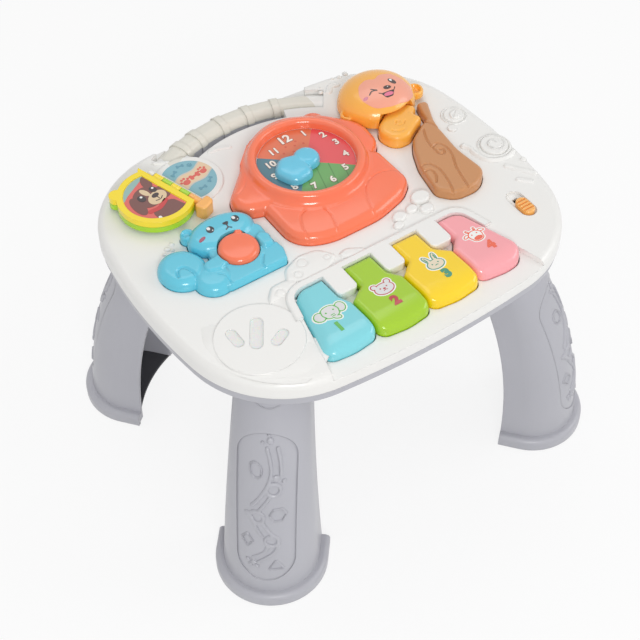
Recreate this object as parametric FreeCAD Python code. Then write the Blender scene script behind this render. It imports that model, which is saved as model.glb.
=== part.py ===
# A toddler's activity table: a two-part shell on four plug-in legs, with piano keys, a clock
# with a turning pointer, a press-in nut, a press-in monkey, a two-leaf book and a slide switch.
# Millimetres. The origin is on the floor under the middle of the feet, +X right, +Y back, +Z up.
import FreeCAD, Part
import math
import os

V = FreeCAD.Vector
UP = V(0, 0, 1)

# Table shell
TABLE_HALF_X = 185.0
TABLE_FRONT_Y = 159.0
TABLE_BACK_Y = 154.0
TABLE_CENTRE_Y = 7.2
TABLE_CORNER_R = 96.0
TABLE_CORNER_IN = 100.3
SIDE_ARC_MIDDLE = math.radians(1.5)
TRAY_Z = 246.5
SEAM_Z = 230.4
SKIRT_Z = 220.0
WALL = 2.5
RIM_ROUND = 7.0
SKIRT_INSET = 1.2
SKIRT_ROUND = 3.0

# Running gaps
GAP = 0.3
PIN_GAP = 0.05
CUTOUT_GAP = 0.6
KEY_GAP = 0.8

# Carrying handle, an arc about one centre
HANDLE_CENTRE = (-8.0, 6.0)
HANDLE_OUTER_R = 163.4
HANDLE_WIDTH = 21.5
HANDLE_TOP_Z = 245.5
HANDLE_BOTTOM_Z = 221.0
HANDLE_ROUND = 8.0
HANDLE_SEAM_Z = 238.5
HANDLE_REBATE = 1.4
HANDLE_REBATE_Z = 239.5
HANDLE_FROM_DEG = 55.0
HANDLE_TO_DEG = 121.0
HANDLE_OPEN_DEGS = (61.0, 118.0)
SLOT_INNER_R = 130.0
SLOT_FROM_DEG = 69.8
SLOT_TO_DEG = 113.4
HANDLE_RING_DEGS = (72.0, 82.3, 92.6, 103.1, 110.4)
HANDLE_RING_WIDTH = 7.0
HANDLE_RING_PROUD = 1.2

# Legs, in a frame with X outward and the foot's centre at the origin
FOOT_CENTRE = (147.7, 120.8)
LEG_TURN_DEG = 50.0
LEG_HALF_BOTTOM = 42.5
LEG_HALF_TOP = 30.0
LEG_SIDE = 20.0
LEG_LEAN = 54.0
LEG_CURVE = 2.2
LEG_WALL = 3.0
LEG_LOFT_STEPS = 6
FOOT_HALF = 50.0
FOOT_TOP_Z = 13.0
FOOT_ROUND = 5.0
SOLE_T = 3.0
SOLE_PROUD = 1.0
SOLE_EDGE = 3.0
SOLE_SAG = 9.0
PLUG_INSET = 5.0
PLUG_H = 6.0
PANEL_WIDTH = 50.0
PANEL_HEIGHT = 152.0
PANEL_CENTRE_Z = 104.0
PANEL_DEPTH = 1.0

# Tub under the shell, with the battery box and the speaker
TUB_X = 150.0
TUB_Y = 104.0
TUB_CENTRE_Y = 6.0
TUB_Z = 200.0
TUB_CORNER_R = 16.0
BATTERY_R = 7.0
BATTERY_L = 49.0
BATTERY_NIPPLE_R = 2.6
BATTERY_NIPPLE_L = 1.2
BATTERY_COUNT = 3
BATTERY_PITCH = 15.2
BATTERY_BOX_X = 34.0
CONTACT_T = 0.4
DOOR_T = 2.2
DOOR_LAP = 3.0
SPEAKER_X = -34.0
SPEAKER_R = 20.0
SPEAKER_H = 12.0
GRILLE_SLOTS = 5
GRILLE_PITCH = 6.0
GRILLE_WIDTH = 2.4
BOARD_T = 1.6
SCREW_HEAD_R = 3.2
SCREW_R = 1.4
SCREW_HEAD_H = 2.0

# Piano keys: necks between fixed white tabs, wide fronts side by side
KEY_TOP_Z = 253.0
KEY_SKIRT_Z = 239.5
KEY_WALL = 2.2
KEY_ROUND = 4.2
KEY_TOP_Y = -118.0
KEY_SLOPE_DEG = 4.0
KEY_BACK_Y = -57.0
KEY_SHOULDER_Y = -81.0
KEY_WIDE_Y = -92.0
KEY_FRONT_Y = (-129.5, -132.2, -131.2, -128.5)
KEY_BULGE = 3.0
KEY_EDGES = (-45.2, 5.6, 56.6)
KEY_TABS = ((-49.8, -30.4), (-1.6, 17.8), (45.4, 65.8))
KEY_LEFT_BACK_X = -80.0
KEY_LEFT_FRONT_X = -96.0
KEY_RIGHT_BACK_X = 88.5
KEY_RIGHT_FRONT_X = 108.0
KEY_CORNER_R = 9.0
KEY_RIGHT_CORNER_R = 15.0
KEY_OUTER_R = 13.0
KEY_PIVOT_Y = -61.5
KEY_PIVOT_Z = 242.5
KEY_ROD_R = 1.5
KEY_BOSS_R = 3.6
KEY_TRAVEL_DEG = 3.5
POCKET_Z = 241.5
POCKET_MARGIN = 3.5
BEZEL_WIDTH = 8.0
BEZEL_RISE = 3.0
BEZEL_FRONT_Y = -84.0
KEY_PAD_Y = -106.0
KEY_PAD_R = 4.5
KEY_PAD_H = 4.0

# Covers that come up through cut-outs in the tray
FLANGE_W = 2.0
FLANGE_T = 2.5

# Bear with the clock
CLOCK_X = 11.0
CLOCK_Y = 57.0
RING_OUTER_R = 50.5
RING_INNER_R = 43.5
RING_RISE = 21.0
RING_ROUND = 3.0
DIAL_DROP = 8.5
DIAL_T = 1.6
BEAR_HEAD_RISE = 13.0
BEAR_BODY_RISE = 11.0
BEAR_ROUND = 7.5
EAR_AT = (49.5, 103.5)
EAR_R = 11.5
EAR_RISE = 9.0
SPINDLE_R = 2.5
SPINDLE_BOSS_R = 6.0
SPINDLE_BOSS_H = 7.0
HUB_R = 12.0
POINTER_H = 9.0
POINTER_ROUND = 4.0
POINTER_AT = (-17.8, -5.3)
WASHER_R = 5.5
WASHER_T = 1.0

# Squirrel with the nut
TAIL_AT = (-140.0, 12.0)
TAIL_R = 20.0
TAIL_LOBE_AT = (-124.0, -9.0)
TAIL_LOBE_R = 17.0
TAIL_RISE = 10.0
LOG_RISE = 7.5
SQUIRREL_HEAD_AT = (-92.5, 30.5)
SQUIRREL_HEAD_R = (31.0, 20.0)
SQUIRREL_HEAD_RISE = 13.0
SQUIRREL_EAR_AT = (-117.5, 43.0)
SQUIRREL_EAR_R = 6.5
SQUIRREL_ROUND = 5.0
NUT_AT = (-91.5, 4.5)
NUT_R = 17.5
NUT_RISE = 13.0
NUT_ROUND = 4.0
NUT_LIP = 2.0
NUT_TRAVEL = 3.0
NUT_SKIRT_Z = 237.0

# Monkey, its hand and the tree
MONKEY_AT = (113.0, 94.5)
MONKEY_R = (36.5, 34.0)
MONKEY_RISE = 28.0
MONKEY_MID_RISE = 6.0
MONKEY_TRAVEL = 3.0
MONKEY_NECK = 6.0
MONKEY_EARS = ((80.5, 92.0, 7.5), (150.5, 87.0, 7.5))
MONKEY_EAR_H = 6.0
MONKEY_EAR_RIM = 2.8
MONKEY_EAR_SINK = 2.0
HAND_RISE = 13.0
TRUNK_RISE = 9.5
SPRING_WIRE_R = 0.5
SPRING_R = 4.5
SPRING_TURNS = 5

# Book: two leaves on one rod
BOOK_HINGE_AT = (-99.0, 99.0)
BOOK_TURN_DEG = 107.8
BOOK_BASE_R = 30.5
BOOK_BASE_RISE = 1.4
BOOK_BASE_OUT = 20.5
LEAF_R = 33.5
LEAF_OUT = 20.5
LEAF_T = 5.6
LEAF_EDGE = 4.6
LEAF_REST_GAP = 1.2
LEAF_ROUND = 1.2
LEAF_FRAME = 5.5
LEAF_SINK = 0.8
LEAF_EAR_R = 6.5
LEAF_EAR_DEGS = (58.0, 128.0)
BARREL_R = 3.8
BOOK_ROD_R = 1.6
KNUCKLES = 4
KNUCKLE_L = 10.0
KNUCKLE_GAP = 0.4
BOOK_POST_L = 6.0

# Slide switch
SWITCH_AT = (141.0, -79.0)
SWITCH_SIZE = (15.0, 33.0)
SWITCH_SINK = 2.5
SLIDER_SIZE = (11.5, 20.0)
SLIDER_RISE = 3.0
SLIDER_STEM = (5.0, 8.0)
SLIDER_TRAVEL = 10.0
SLIDER_RIBS = 4
SWITCH_BODY_H = 6.0

# Light windows in the raised disc at the front left corner: x, y, width, length, turn
LENS_DISC_AT = (-127.0, -82.0)
LENS_DISC_R = 37.0
LENS_DISC_RISE = 1.5
LENSES = ((-143.0, -71.0, 9.0, 20.0, 0.0),
          (-126.0, -76.0, 10.5, 33.0, -33.0),
          (-113.0, -90.0, 9.0, 19.0, -63.0))
LENS_SINK = 1.0
LENS_FLANGE_T = 1.2

# Low ornaments moulded on the tray: stones as x, y, half length, half width, rise; discs as x, y, radius, rise
STONES = ((72.5, -26.0, 9.0, 7.0, 4.5),
          (58.5, -32.5, 5.6, 4.4, 3.0),
          (69.5, -39.5, 6.5, 5.0, 3.5),
          (44.0, -34.5, 6.5, 5.0, 3.5),
          (38.0, -42.0, 5.0, 4.0, 2.5))
TRAY_DISCS = ((168.0, -8.5, 12.5, 2.4),
              (168.0, -8.5, 6.5, 3.4),
              (163.5, 44.0, 9.5, 1.6),
              (151.5, 30.5, 4.5, 1.6))
STONE_ROUND = 1.8
DISC_ROUND = 1.0

# Heights that follow from the sizes above
PLATE_Z = TRAY_Z - WALL
FLANGE_Z = PLATE_Z - FLANGE_T
FLOOR_Z = SKIRT_Z + WALL
LEAF_LOW_Z = TRAY_Z + BOOK_BASE_RISE + LEAF_REST_GAP
LEAF_AXIS_Z = LEAF_LOW_Z + LEAF_T + GAP / 2
HANDLE_MID_R = HANDLE_OUTER_R - HANDLE_WIDTH / 2
DIAL_Z = TRAY_Z + RING_RISE - DIAL_DROP
POCKET_FLOOR_Z = SEAM_Z + WALL


def rounded(corners):
    """Closed wire in the XY plane through (x, y, radius) corners, each rounded by an arc."""
    edges = []
    arcs = []
    count = len(corners)
    for i in range(count):
        before = V(corners[i - 1][0], corners[i - 1][1], 0)
        here = V(corners[i][0], corners[i][1], 0)
        after = V(corners[(i + 1) % count][0], corners[(i + 1) % count][1], 0)
        to_before = (before - here).normalize()
        to_after = (after - here).normalize()
        half_angle = to_before.getAngle(to_after) / 2
        radius = corners[i][2]
        reach = radius / math.tan(half_angle)
        middle_line = (to_before + to_after).normalize()
        centre = here + middle_line * (radius / math.sin(half_angle))
        arcs.append((here + to_before * reach, centre - middle_line * radius, here + to_after * reach))
    for i in range(count):
        start, middle, end = arcs[i]
        edges.append(Part.Arc(start, middle, end).toShape())
        following = arcs[(i + 1) % count][0]
        if (following - end).Length > 1e-6:
            edges.append(Part.LineSegment(end, following).toShape())
    return Part.Wire(edges)


def circle(at, radius):
    return Part.Wire(Part.Circle(V(at[0], at[1], 0), UP, radius).toShape())


def pill(at, width, length, turn_deg):
    """Slot-shaped wire: half circles at both ends, long side along Y before the turn."""
    half = width / 2
    reach = length / 2
    wire = rounded([(half, reach, half * 0.999), (-half, reach, half * 0.999),
                    (-half, -reach, half * 0.999), (half, -reach, half * 0.999)])
    wire.rotate(V(0, 0, 0), UP, turn_deg)
    wire.translate(V(at[0], at[1], 0))
    return wire


def oval(at, radii):
    """Four-arc oval, longer along X."""
    along, across = radii
    end_r = 1.1 * across ** 2 / along
    flat_r = flat_arc_radius(across, 0, along - end_r, end_r)
    joint = V(along - end_r, flat_r - across, 0).normalize() * flat_r
    edges = []
    for side in (1, -1):
        right = V(joint.x, side * (joint.y - flat_r + across), 0)
        left = V(-right.x, right.y, 0)
        edges.append(Part.Arc(right, V(0, side * across, 0), left).toShape())
        top = V(side * right.x, abs(right.y), 0)
        bottom = V(top.x, -top.y, 0)
        edges.append(Part.Arc(top, V(side * along, 0, 0), bottom).toShape())
    wire = Part.Wire(Part.__sortEdges__(edges))
    wire.translate(V(at[0], at[1], 0))
    return wire


def ellipse(at, radii):
    curve = Part.Ellipse(V(at[0], at[1], 0), radii[0], radii[1])
    return Part.Wire(curve.toShape())


def flat_arc_radius(reach, corner_along, corner_across, corner_r):
    """Radius of the flat arc at one edge of the table that runs smoothly into its corner arcs."""
    drop = reach - corner_along
    return (corner_across ** 2 + drop ** 2 - corner_r ** 2) / (2 * (drop - corner_r))


def table_outline(inset):
    """The table's outline: a flat arc along each edge, run into round corners."""
    corner_x = TABLE_HALF_X - TABLE_CORNER_IN
    corner_r = TABLE_CORNER_R
    ends = {}
    for side, depth in ((-1, TABLE_FRONT_Y), (1, TABLE_BACK_Y)):
        corner_y = depth - TABLE_CORNER_IN
        end_r = flat_arc_radius(depth, corner_y, corner_x, corner_r)
        side_r = flat_arc_radius(TABLE_HALF_X, corner_x, corner_y, corner_r)
        to_end = V(corner_x, corner_y - (depth - end_r), 0).normalize()
        to_side = V(corner_x - (TABLE_HALF_X - side_r), corner_y, 0).normalize()
        middle = (to_end + to_side).normalize()
        at = V(corner_x, corner_y, 0)
        reach = corner_r - inset
        ends[side] = [at + to_side * reach, at + middle * reach, at + to_end * reach, V(0, depth - inset, 0),
                      V(TABLE_HALF_X - side_r, 0, 0) + V(math.cos(SIDE_ARC_MIDDLE), math.sin(SIDE_ARC_MIDDLE), 0)
                      * (side_r - inset)]
    edges = []
    for across, along in ((1, 1), (-1, 1), (-1, -1), (1, -1)):
        low, middle, high, tip, side_point = [V(across * p.x, TABLE_CENTRE_Y + along * p.y, 0) for p in ends[along]]
        edge = V(across * (TABLE_HALF_X - inset), TABLE_CENTRE_Y, 0)
        edges.append(Part.Arc(edge, side_point, low).toShape())
        edges.append(Part.Arc(low, middle, high).toShape())
        if across == 1:
            opposite = V(-high.x, high.y, 0)
            edges.append(Part.Arc(high, tip, opposite).toShape())
    return Part.Wire(Part.__sortEdges__(edges))


def grown(wire, distance):
    """The same outline, further out by a distance, or further in if it is negative."""
    if distance == 0:
        return wire
    return wire.makeOffset2D(distance)


def prism(wire, low, high):
    face = Part.Face(wire)
    face.translate(V(0, 0, low))
    return face.extrude(V(0, 0, high - low))


def box(low, high):
    size = [high[i] - low[i] for i in range(3)]
    return Part.makeBox(size[0], size[1], size[2], V(low[0], low[1], low[2]))


def cylinder(at, radius, low, high):
    return Part.makeCylinder(radius, high - low, V(at[0], at[1], low))


def level_edges(shape, z):
    return [e for e in shape.Edges if abs(e.BoundBox.ZMin - z) < 0.01 and abs(e.BoundBox.ZMax - z) < 0.01]


def soft_top(shape, z, radius):
    """Rounds every edge that lies flat at one height."""
    return shape.makeFillet(radius, level_edges(shape, z))


def pebble(wire, low, high, radius):
    return soft_top(prism(wire, low, high), high, radius)


def fused(shapes):
    whole = shapes[0]
    if len(shapes) > 1:
        whole = whole.multiFuse(shapes[1:])
    return whole.removeSplitter()


def save(name, shape):
    shape.exportStep("parts/%s.step" % name)
    print("%-22s solids %d  volume %10.1f  valid %s" % (name, len(shape.Solids), shape.Volume, shape.isValid()))


# Shapes about the handle's centre
def sector(inner_r, outer_r, from_deg, to_deg, low, high):
    """A vertical-walled part of a ring about the handle's centre."""
    profile = Part.Face(Part.makePolygon([V(inner_r, 0, low), V(outer_r, 0, low), V(outer_r, 0, high),
                                          V(inner_r, 0, high), V(inner_r, 0, low)]))
    return swept(profile, from_deg, to_deg)


def swept(profile, from_deg, to_deg):
    """Turns a profile drawn in the XZ plane about the handle's centre."""
    profile.rotate(V(0, 0, 0), UP, from_deg)
    solid = profile.revolve(V(0, 0, 0), UP, to_deg - from_deg)
    solid.translate(V(HANDLE_CENTRE[0], HANDLE_CENTRE[1], 0))
    return solid


def grip_profile(grow):
    """The grip's rounded cross-section in the XZ plane."""
    wire = rounded([(HANDLE_OUTER_R - HANDLE_WIDTH - grow, HANDLE_BOTTOM_Z - grow, HANDLE_ROUND + grow),
                    (HANDLE_OUTER_R + grow, HANDLE_BOTTOM_Z - grow, HANDLE_ROUND + grow),
                    (HANDLE_OUTER_R + grow, HANDLE_TOP_Z + grow, HANDLE_ROUND + grow),
                    (HANDLE_OUTER_R - HANDLE_WIDTH - grow, HANDLE_TOP_Z + grow, HANDLE_ROUND + grow)])
    wire.rotate(V(0, 0, 0), V(1, 0, 0), 90)
    return Part.Face(wire)


def grip():
    """The whole grip with its rings, before it is shared between the two shells."""
    parts = [swept(grip_profile(0), HANDLE_FROM_DEG, HANDLE_TO_DEG)]
    half_ring = math.degrees(HANDLE_RING_WIDTH / 2 / HANDLE_MID_R)
    for angle in HANDLE_RING_DEGS:
        parts.append(swept(grip_profile(HANDLE_RING_PROUD), angle - half_ring, angle + half_ring))
    return fused(parts)


def slot_cut(low, high):
    """Everything between the tray's back edge and the grip, out past the grip."""
    return sector(SLOT_INNER_R, HANDLE_OUTER_R + 20, SLOT_FROM_DEG, SLOT_TO_DEG, low, high)


def handle_rebates(margin, low, high):
    """The room round the grip where its ends run into the tray, beyond both ends of the slot."""
    inner = HANDLE_OUTER_R - HANDLE_WIDTH - HANDLE_REBATE - margin
    edge = math.degrees(margin / HANDLE_MID_R)
    near, far = HANDLE_OPEN_DEGS
    beyond = HANDLE_OUTER_R + HANDLE_REBATE + margin
    return fused([sector(inner, HANDLE_OUTER_R + 20, near - edge, SLOT_FROM_DEG + edge, low, high),
                  sector(inner, HANDLE_OUTER_R + 20, SLOT_TO_DEG - edge, far + edge, low, high),
                  sector(inner, beyond, HANDLE_FROM_DEG - edge, near, low, high),
                  sector(inner, beyond, far, HANDLE_TO_DEG + edge, low, high)])


def slot_grip(low, high):
    """The grip's part that crosses the slot, between two heights."""
    return layer(grip(), low, high).common(slot_cut(low, high))


def layer(shape, low, high):
    """The part of a shape between two heights."""
    reach = 2 * TABLE_HALF_X
    return shape.common(box((-reach, -reach, low), (reach, reach, high)))


# Figures as lists of (wire, rise above the tray, edge round)
def bear_plates():
    body = rounded([(-49, 36, 10), (-49, -14, 27), (-20, -27, 55), (30, -27, 70), (61, -18, 30), (76, -6, 16),
                    (75, 38, 12), (40, 70, 30), (-30, 70, 30)])
    head = rounded([(-44, 30, 6), (-68, 38, 17), (-68, 58, 16), (-10, 115, 38), (20, 127, 45), (60, 105, 26),
                    (84, 76, 30), (82, 48, 18), (66, 36, 10), (20, 20, 30), (-20, 20, 30)])
    return [(head, BEAR_HEAD_RISE, BEAR_ROUND), (body, BEAR_BODY_RISE, BEAR_ROUND),
            (circle(EAR_AT, EAR_R), EAR_RISE, 4.0)]


def squirrel_plates():
    log = rounded([(-122, -26, 5), (-63, -26, 4), (-59, -14, 5), (-60, -2, 5), (-118, -2, 5)])
    chest = rounded([(-118, -4, 6), (-62, -6, 6), (-60, 22, 9), (-74, 32, 9), (-112, 30, 9)])
    return [(circle(TAIL_AT, TAIL_R), TAIL_RISE, SQUIRREL_ROUND),
            (circle(TAIL_LOBE_AT, TAIL_LOBE_R), TAIL_RISE - 1.5, SQUIRREL_ROUND),
            (log, LOG_RISE, 3.0),
            (chest, TAIL_RISE - 1.0, 3.5),
            (oval(SQUIRREL_HEAD_AT, SQUIRREL_HEAD_R), SQUIRREL_HEAD_RISE, SQUIRREL_ROUND),
            (circle(SQUIRREL_EAR_AT, SQUIRREL_EAR_R), SQUIRREL_HEAD_RISE - 4.0, 2.5)]


def hand_plates():
    palm = rounded([(86, 58, 14), (92, 36, 12), (108, 36, 10), (122, 44.5, 10), (131.5, 49, 4.5), (128, 57.5, 2),
                    (135.5, 64, 4.5), (130, 72, 5), (106, 72, 12)])
    return [(palm, HAND_RISE, 4.0)]


def trunk_plates():
    bark = rounded([(85.5, -31, 10), (97, -45, 18), (122, -46, 22), (136, -33, 12), (133, 0, 60), (138, 40, 60),
                    (151, 68, 4), (140, 69.5, 2.5), (136.5, 58, 8), (134, 47.5, 5), (124, 42.5, 10),
                    (109, 33.5, 12), (101, 22, 30), (92, 2, 50)])
    return [(bark, TRUNK_RISE, 3.0)]


def cover(plates, neighbours):
    """A moulded cover: rounded plates above the tray, hollow below, with a flange under the tray."""
    outside = []
    inside = []
    flange = []
    for wire, rise, radius in plates:
        outside.append(pebble(wire, FLANGE_Z, TRAY_Z + rise, radius))
        inner = grown(wire, -WALL)
        inside.append(prism(inner, FLANGE_Z - 1, TRAY_Z + rise - WALL))
        flange.append(prism(grown(wire, FLANGE_W), FLANGE_Z, PLATE_Z))
    flange = fused(flange)
    for wire, rise, radius in neighbours:
        flange = flange.cut(prism(grown(wire, FLANGE_W + GAP), FLANGE_Z - 1, PLATE_Z + 1))
    return fused(outside + [flange]).cut(fused(inside))


def cut_for(shell, plates):
    """Opens the tray round a cover."""
    for wire, rise, radius in plates:
        shell = shell.cut(prism(grown(wire, CUTOUT_GAP), PLATE_Z - 1, TRAY_Z + 1))
    return shell


# Piano keys
def key_left_x(y):
    share = (y - KEY_BACK_Y) / (KEY_FRONT_Y[0] - KEY_BACK_Y)
    return KEY_LEFT_BACK_X + (KEY_LEFT_FRONT_X - KEY_LEFT_BACK_X) * share


def key_right_x(y):
    share = (y - KEY_BACK_Y) / (KEY_FRONT_Y[3] - KEY_BACK_Y)
    return KEY_RIGHT_BACK_X + (KEY_RIGHT_FRONT_X - KEY_RIGHT_BACK_X) * share


def key_outline(index):
    """One key from above: a neck at the back, shoulders round the tabs, a wide bulged front."""
    last = len(KEY_TABS)
    half_gap = KEY_GAP / 2
    front = KEY_FRONT_Y[index]
    if index == 0:
        left = [(key_left_x(KEY_BACK_Y), KEY_BACK_Y, KEY_OUTER_R), (key_left_x(front), front, KEY_CORNER_R)]
        left_x = key_left_x(front)
    else:
        neck = KEY_TABS[index - 1][1] + KEY_GAP
        left_x = KEY_EDGES[index - 1] + half_gap
        left = [(neck, KEY_BACK_Y, 2.0), (neck, KEY_SHOULDER_Y, 5.0), (left_x, KEY_WIDE_Y, 4.0),
                (left_x, front, KEY_CORNER_R)]
    if index == last:
        right = [(key_right_x(front), front, KEY_RIGHT_CORNER_R),
                 (key_right_x(KEY_BACK_Y), KEY_BACK_Y, KEY_OUTER_R)]
        right_x = key_right_x(front)
    else:
        neck = KEY_TABS[index][0] - KEY_GAP
        right_x = KEY_EDGES[index] - half_gap
        right = [(right_x, front, KEY_CORNER_R), (right_x, KEY_WIDE_Y, 4.0), (neck, KEY_SHOULDER_Y, 5.0),
                 (neck, KEY_BACK_Y, 2.0)]
    nose = ((left_x + right_x) / 2, front - KEY_BULGE, (right_x - left_x) * 0.9)
    return rounded(left + [nose] + right)


def key_neck_span(index):
    left = key_left_x(KEY_PIVOT_Y) + KEY_WALL if index == 0 else KEY_TABS[index - 1][1] + KEY_GAP
    right = key_right_x(KEY_PIVOT_Y) - KEY_WALL if index == len(KEY_TABS) else KEY_TABS[index][0] - KEY_GAP
    return left, right


def key_middle_x(index):
    left = KEY_LEFT_FRONT_X if index == 0 else KEY_EDGES[index - 1]
    right = KEY_RIGHT_FRONT_X if index == len(KEY_TABS) else KEY_EDGES[index]
    return (left + right) / 2


def key_block(outline, low, lowered):
    """An upright block on an outline, below the keys' sloping top or a plane lowered from it."""
    reach = 2 * TABLE_HALF_X
    above = box((-reach, -reach, 0), (reach, reach, reach))
    above.rotate(V(0, 0, 0), V(1, 0, 0), -KEY_SLOPE_DEG)
    above.translate(V(0, KEY_TOP_Y, KEY_TOP_Z - lowered))
    return prism(outline, low, KEY_TOP_Z + reach / 10).cut(above)


def key(index):
    outline = key_outline(index)
    cap = key_block(outline, KEY_SKIRT_Z, 0)
    top = max(cap.Faces, key=lambda face: face.CenterOfMass.z)
    cap = cap.makeFillet(KEY_ROUND, top.Edges)
    cap = cap.cut(key_block(grown(outline, -KEY_WALL), KEY_SKIRT_Z - 1, KEY_WALL))
    left, right = key_neck_span(index)
    boss = Part.makeCylinder(KEY_BOSS_R, right - left, V(left, KEY_PIVOT_Y, KEY_PIVOT_Z), V(1, 0, 0))
    web = box((left, KEY_PIVOT_Y - KEY_WALL, KEY_PIVOT_Z), (right, KEY_PIVOT_Y + KEY_WALL, KEY_TOP_Z))
    drop = (KEY_PIVOT_Y - KEY_PAD_Y) * math.sin(math.radians(KEY_TRAVEL_DEG))
    post_low = SEAM_Z + KEY_PAD_H + drop + GAP
    post = cylinder((key_middle_x(index), KEY_PAD_Y), KEY_PAD_R - 1, post_low, KEY_TOP_Z)
    bore = Part.makeCylinder(KEY_ROD_R + PIN_GAP, right - left + 20,
                             V(left - 10, KEY_PIVOT_Y, KEY_PIVOT_Z), V(1, 0, 0))
    inside = Part.makeCompound([fused([boss, web]), post])
    inside = inside.common(key_block(outline, SEAM_Z, KEY_WALL / 2))
    return fused([cap, inside]).cut(bore)


def key_field(grow, front_extra):
    """One outline round all four keys."""
    front = min(KEY_FRONT_Y) - KEY_BULGE - front_extra
    base = rounded([(key_left_x(KEY_BACK_Y), KEY_BACK_Y, KEY_OUTER_R), (key_left_x(front), front, KEY_CORNER_R),
                    (key_right_x(front), front, KEY_CORNER_R), (key_right_x(KEY_BACK_Y), KEY_BACK_Y, KEY_OUTER_R)])
    return grown(base, grow)


def key_rod_span():
    return key_left_x(KEY_PIVOT_Y) - KEY_GAP - 1.5, key_right_x(KEY_PIVOT_Y) + KEY_GAP + 1.5


def key_rod():
    left, right = key_rod_span()
    return Part.makeCylinder(KEY_ROD_R, right - left, V(left, KEY_PIVOT_Y, KEY_PIVOT_Z), V(1, 0, 0))


# Book
def book_point(across, along):
    """A point given across the hinge (to the left) and along it (towards the back)."""
    turn = math.radians(BOOK_TURN_DEG)
    along_dir = (math.cos(turn), math.sin(turn))
    across_dir = (-math.sin(turn), math.cos(turn))
    return (BOOK_HINGE_AT[0] + across_dir[0] * across + along_dir[0] * along,
            BOOK_HINGE_AT[1] + across_dir[1] * across + along_dir[1] * along)


def to_book(shape):
    """Places a shape drawn with the hinge along +Y through the origin and the leaf at -X."""
    shape.rotate(V(0, 0, 0), UP, BOOK_TURN_DEG - 90)
    shape.translate(V(BOOK_HINGE_AT[0], BOOK_HINGE_AT[1], 0))
    return shape


def knuckle_start(index):
    """Where a knuckle begins, counted from the front end of the hinge."""
    return -KNUCKLES * KNUCKLE_L / 2 + index * KNUCKLE_L


def leaf(low, knuckles):
    """A round leaf with two ears, cut straight at the hinge, with its knuckles on the rod."""
    high = low + LEAF_T
    centre = (-LEAF_OUT, 0)
    shapes = [cylinder(centre, LEAF_R, low, high)]
    for degrees in LEAF_EAR_DEGS:
        angle = math.radians(degrees)
        ear = (centre[0] + LEAF_R * math.cos(angle), centre[1] + LEAF_R * math.sin(angle))
        shapes.append(cylinder(ear, LEAF_EAR_R, low, high))
    disc = fused(shapes)
    reach = LEAF_R + LEAF_EAR_R
    disc = disc.cut(box((-LEAF_EDGE, -2 * reach, low - 1), (2 * reach, 2 * reach, high + 1)))
    for z, low_cut, high_cut in ((low, low - 1, low + LEAF_SINK), (high, high - LEAF_SINK, high + 1)):
        picture = cylinder(centre, LEAF_R - LEAF_FRAME, low_cut, high_cut)
        disc = disc.cut(picture.cut(box((-LEAF_EDGE - LEAF_FRAME, -reach, low_cut), (reach, reach, high_cut))))
    barrels = []
    for index in knuckles:
        start = knuckle_start(index) + KNUCKLE_GAP / 2
        length = KNUCKLE_L - KNUCKLE_GAP
        barrels.append(Part.makeCylinder(BARREL_R, length, V(0, start, LEAF_AXIS_Z), V(0, 1, 0)))
        web_low = max(low, LEAF_AXIS_Z - BARREL_R * 0.9)
        web_high = min(high, LEAF_AXIS_Z + BARREL_R * 0.9)
        barrels.append(box((-LEAF_EDGE - 1, start, web_low), (0, start + length, web_high)))
    body = fused([disc] + barrels)
    bore = Part.makeCylinder(BOOK_ROD_R + PIN_GAP, 2 * KNUCKLES * KNUCKLE_L,
                             V(0, -KNUCKLES * KNUCKLE_L, LEAF_AXIS_Z), V(0, 1, 0))
    return to_book(body.cut(bore))


def book_rod():
    half = KNUCKLES * KNUCKLE_L / 2 + BOOK_POST_L
    return to_book(Part.makeCylinder(BOOK_ROD_R, 2 * half, V(0, -half, LEAF_AXIS_Z), V(0, 1, 0)))


def book_back_post():
    start = KNUCKLES * KNUCKLE_L / 2 + KNUCKLE_GAP
    post = box((-BARREL_R, start, TRAY_Z - 1), (BARREL_R, start + BOOK_POST_L, LEAF_AXIS_Z))
    drum = Part.makeCylinder(BARREL_R, BOOK_POST_L, V(0, start, LEAF_AXIS_Z), V(0, 1, 0))
    return to_book(fused([post, drum]))


def hinge_cap():
    """The leaf-shaped end cap that carries the front end of the rod."""
    start = -KNUCKLES * KNUCKLE_L / 2 - KNUCKLE_GAP
    leaf_start = -LEAF_R + 1.2
    high = LEAF_AXIS_Z + BARREL_R + 1
    drum = Part.makeCylinder(BARREL_R, start - leaf_start + 2, V(0, leaf_start - 2, LEAF_AXIS_Z), V(0, 1, 0))
    foot = box((-BARREL_R, leaf_start - 2, TRAY_Z), (BARREL_R, start, LEAF_AXIS_Z))
    outline = rounded([(-8.5, leaf_start, 2.5), (8.0, leaf_start, 3.0), (7.0, leaf_start - 9, 4.5),
                       (-7.5, leaf_start - 11, 4.0)])
    blade = pebble(outline, TRAY_Z, high, 2.0)
    cap = to_book(fused([drum, foot, blade])).cut(book_rod())
    for side in (-1, 1):
        at = book_point(side * BOOK_BASE_OUT, 0)
        cap = cap.cut(cylinder(at, BOOK_BASE_R + PIN_GAP, TRAY_Z - 1, TRAY_Z + BOOK_BASE_RISE))
    return cap


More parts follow.
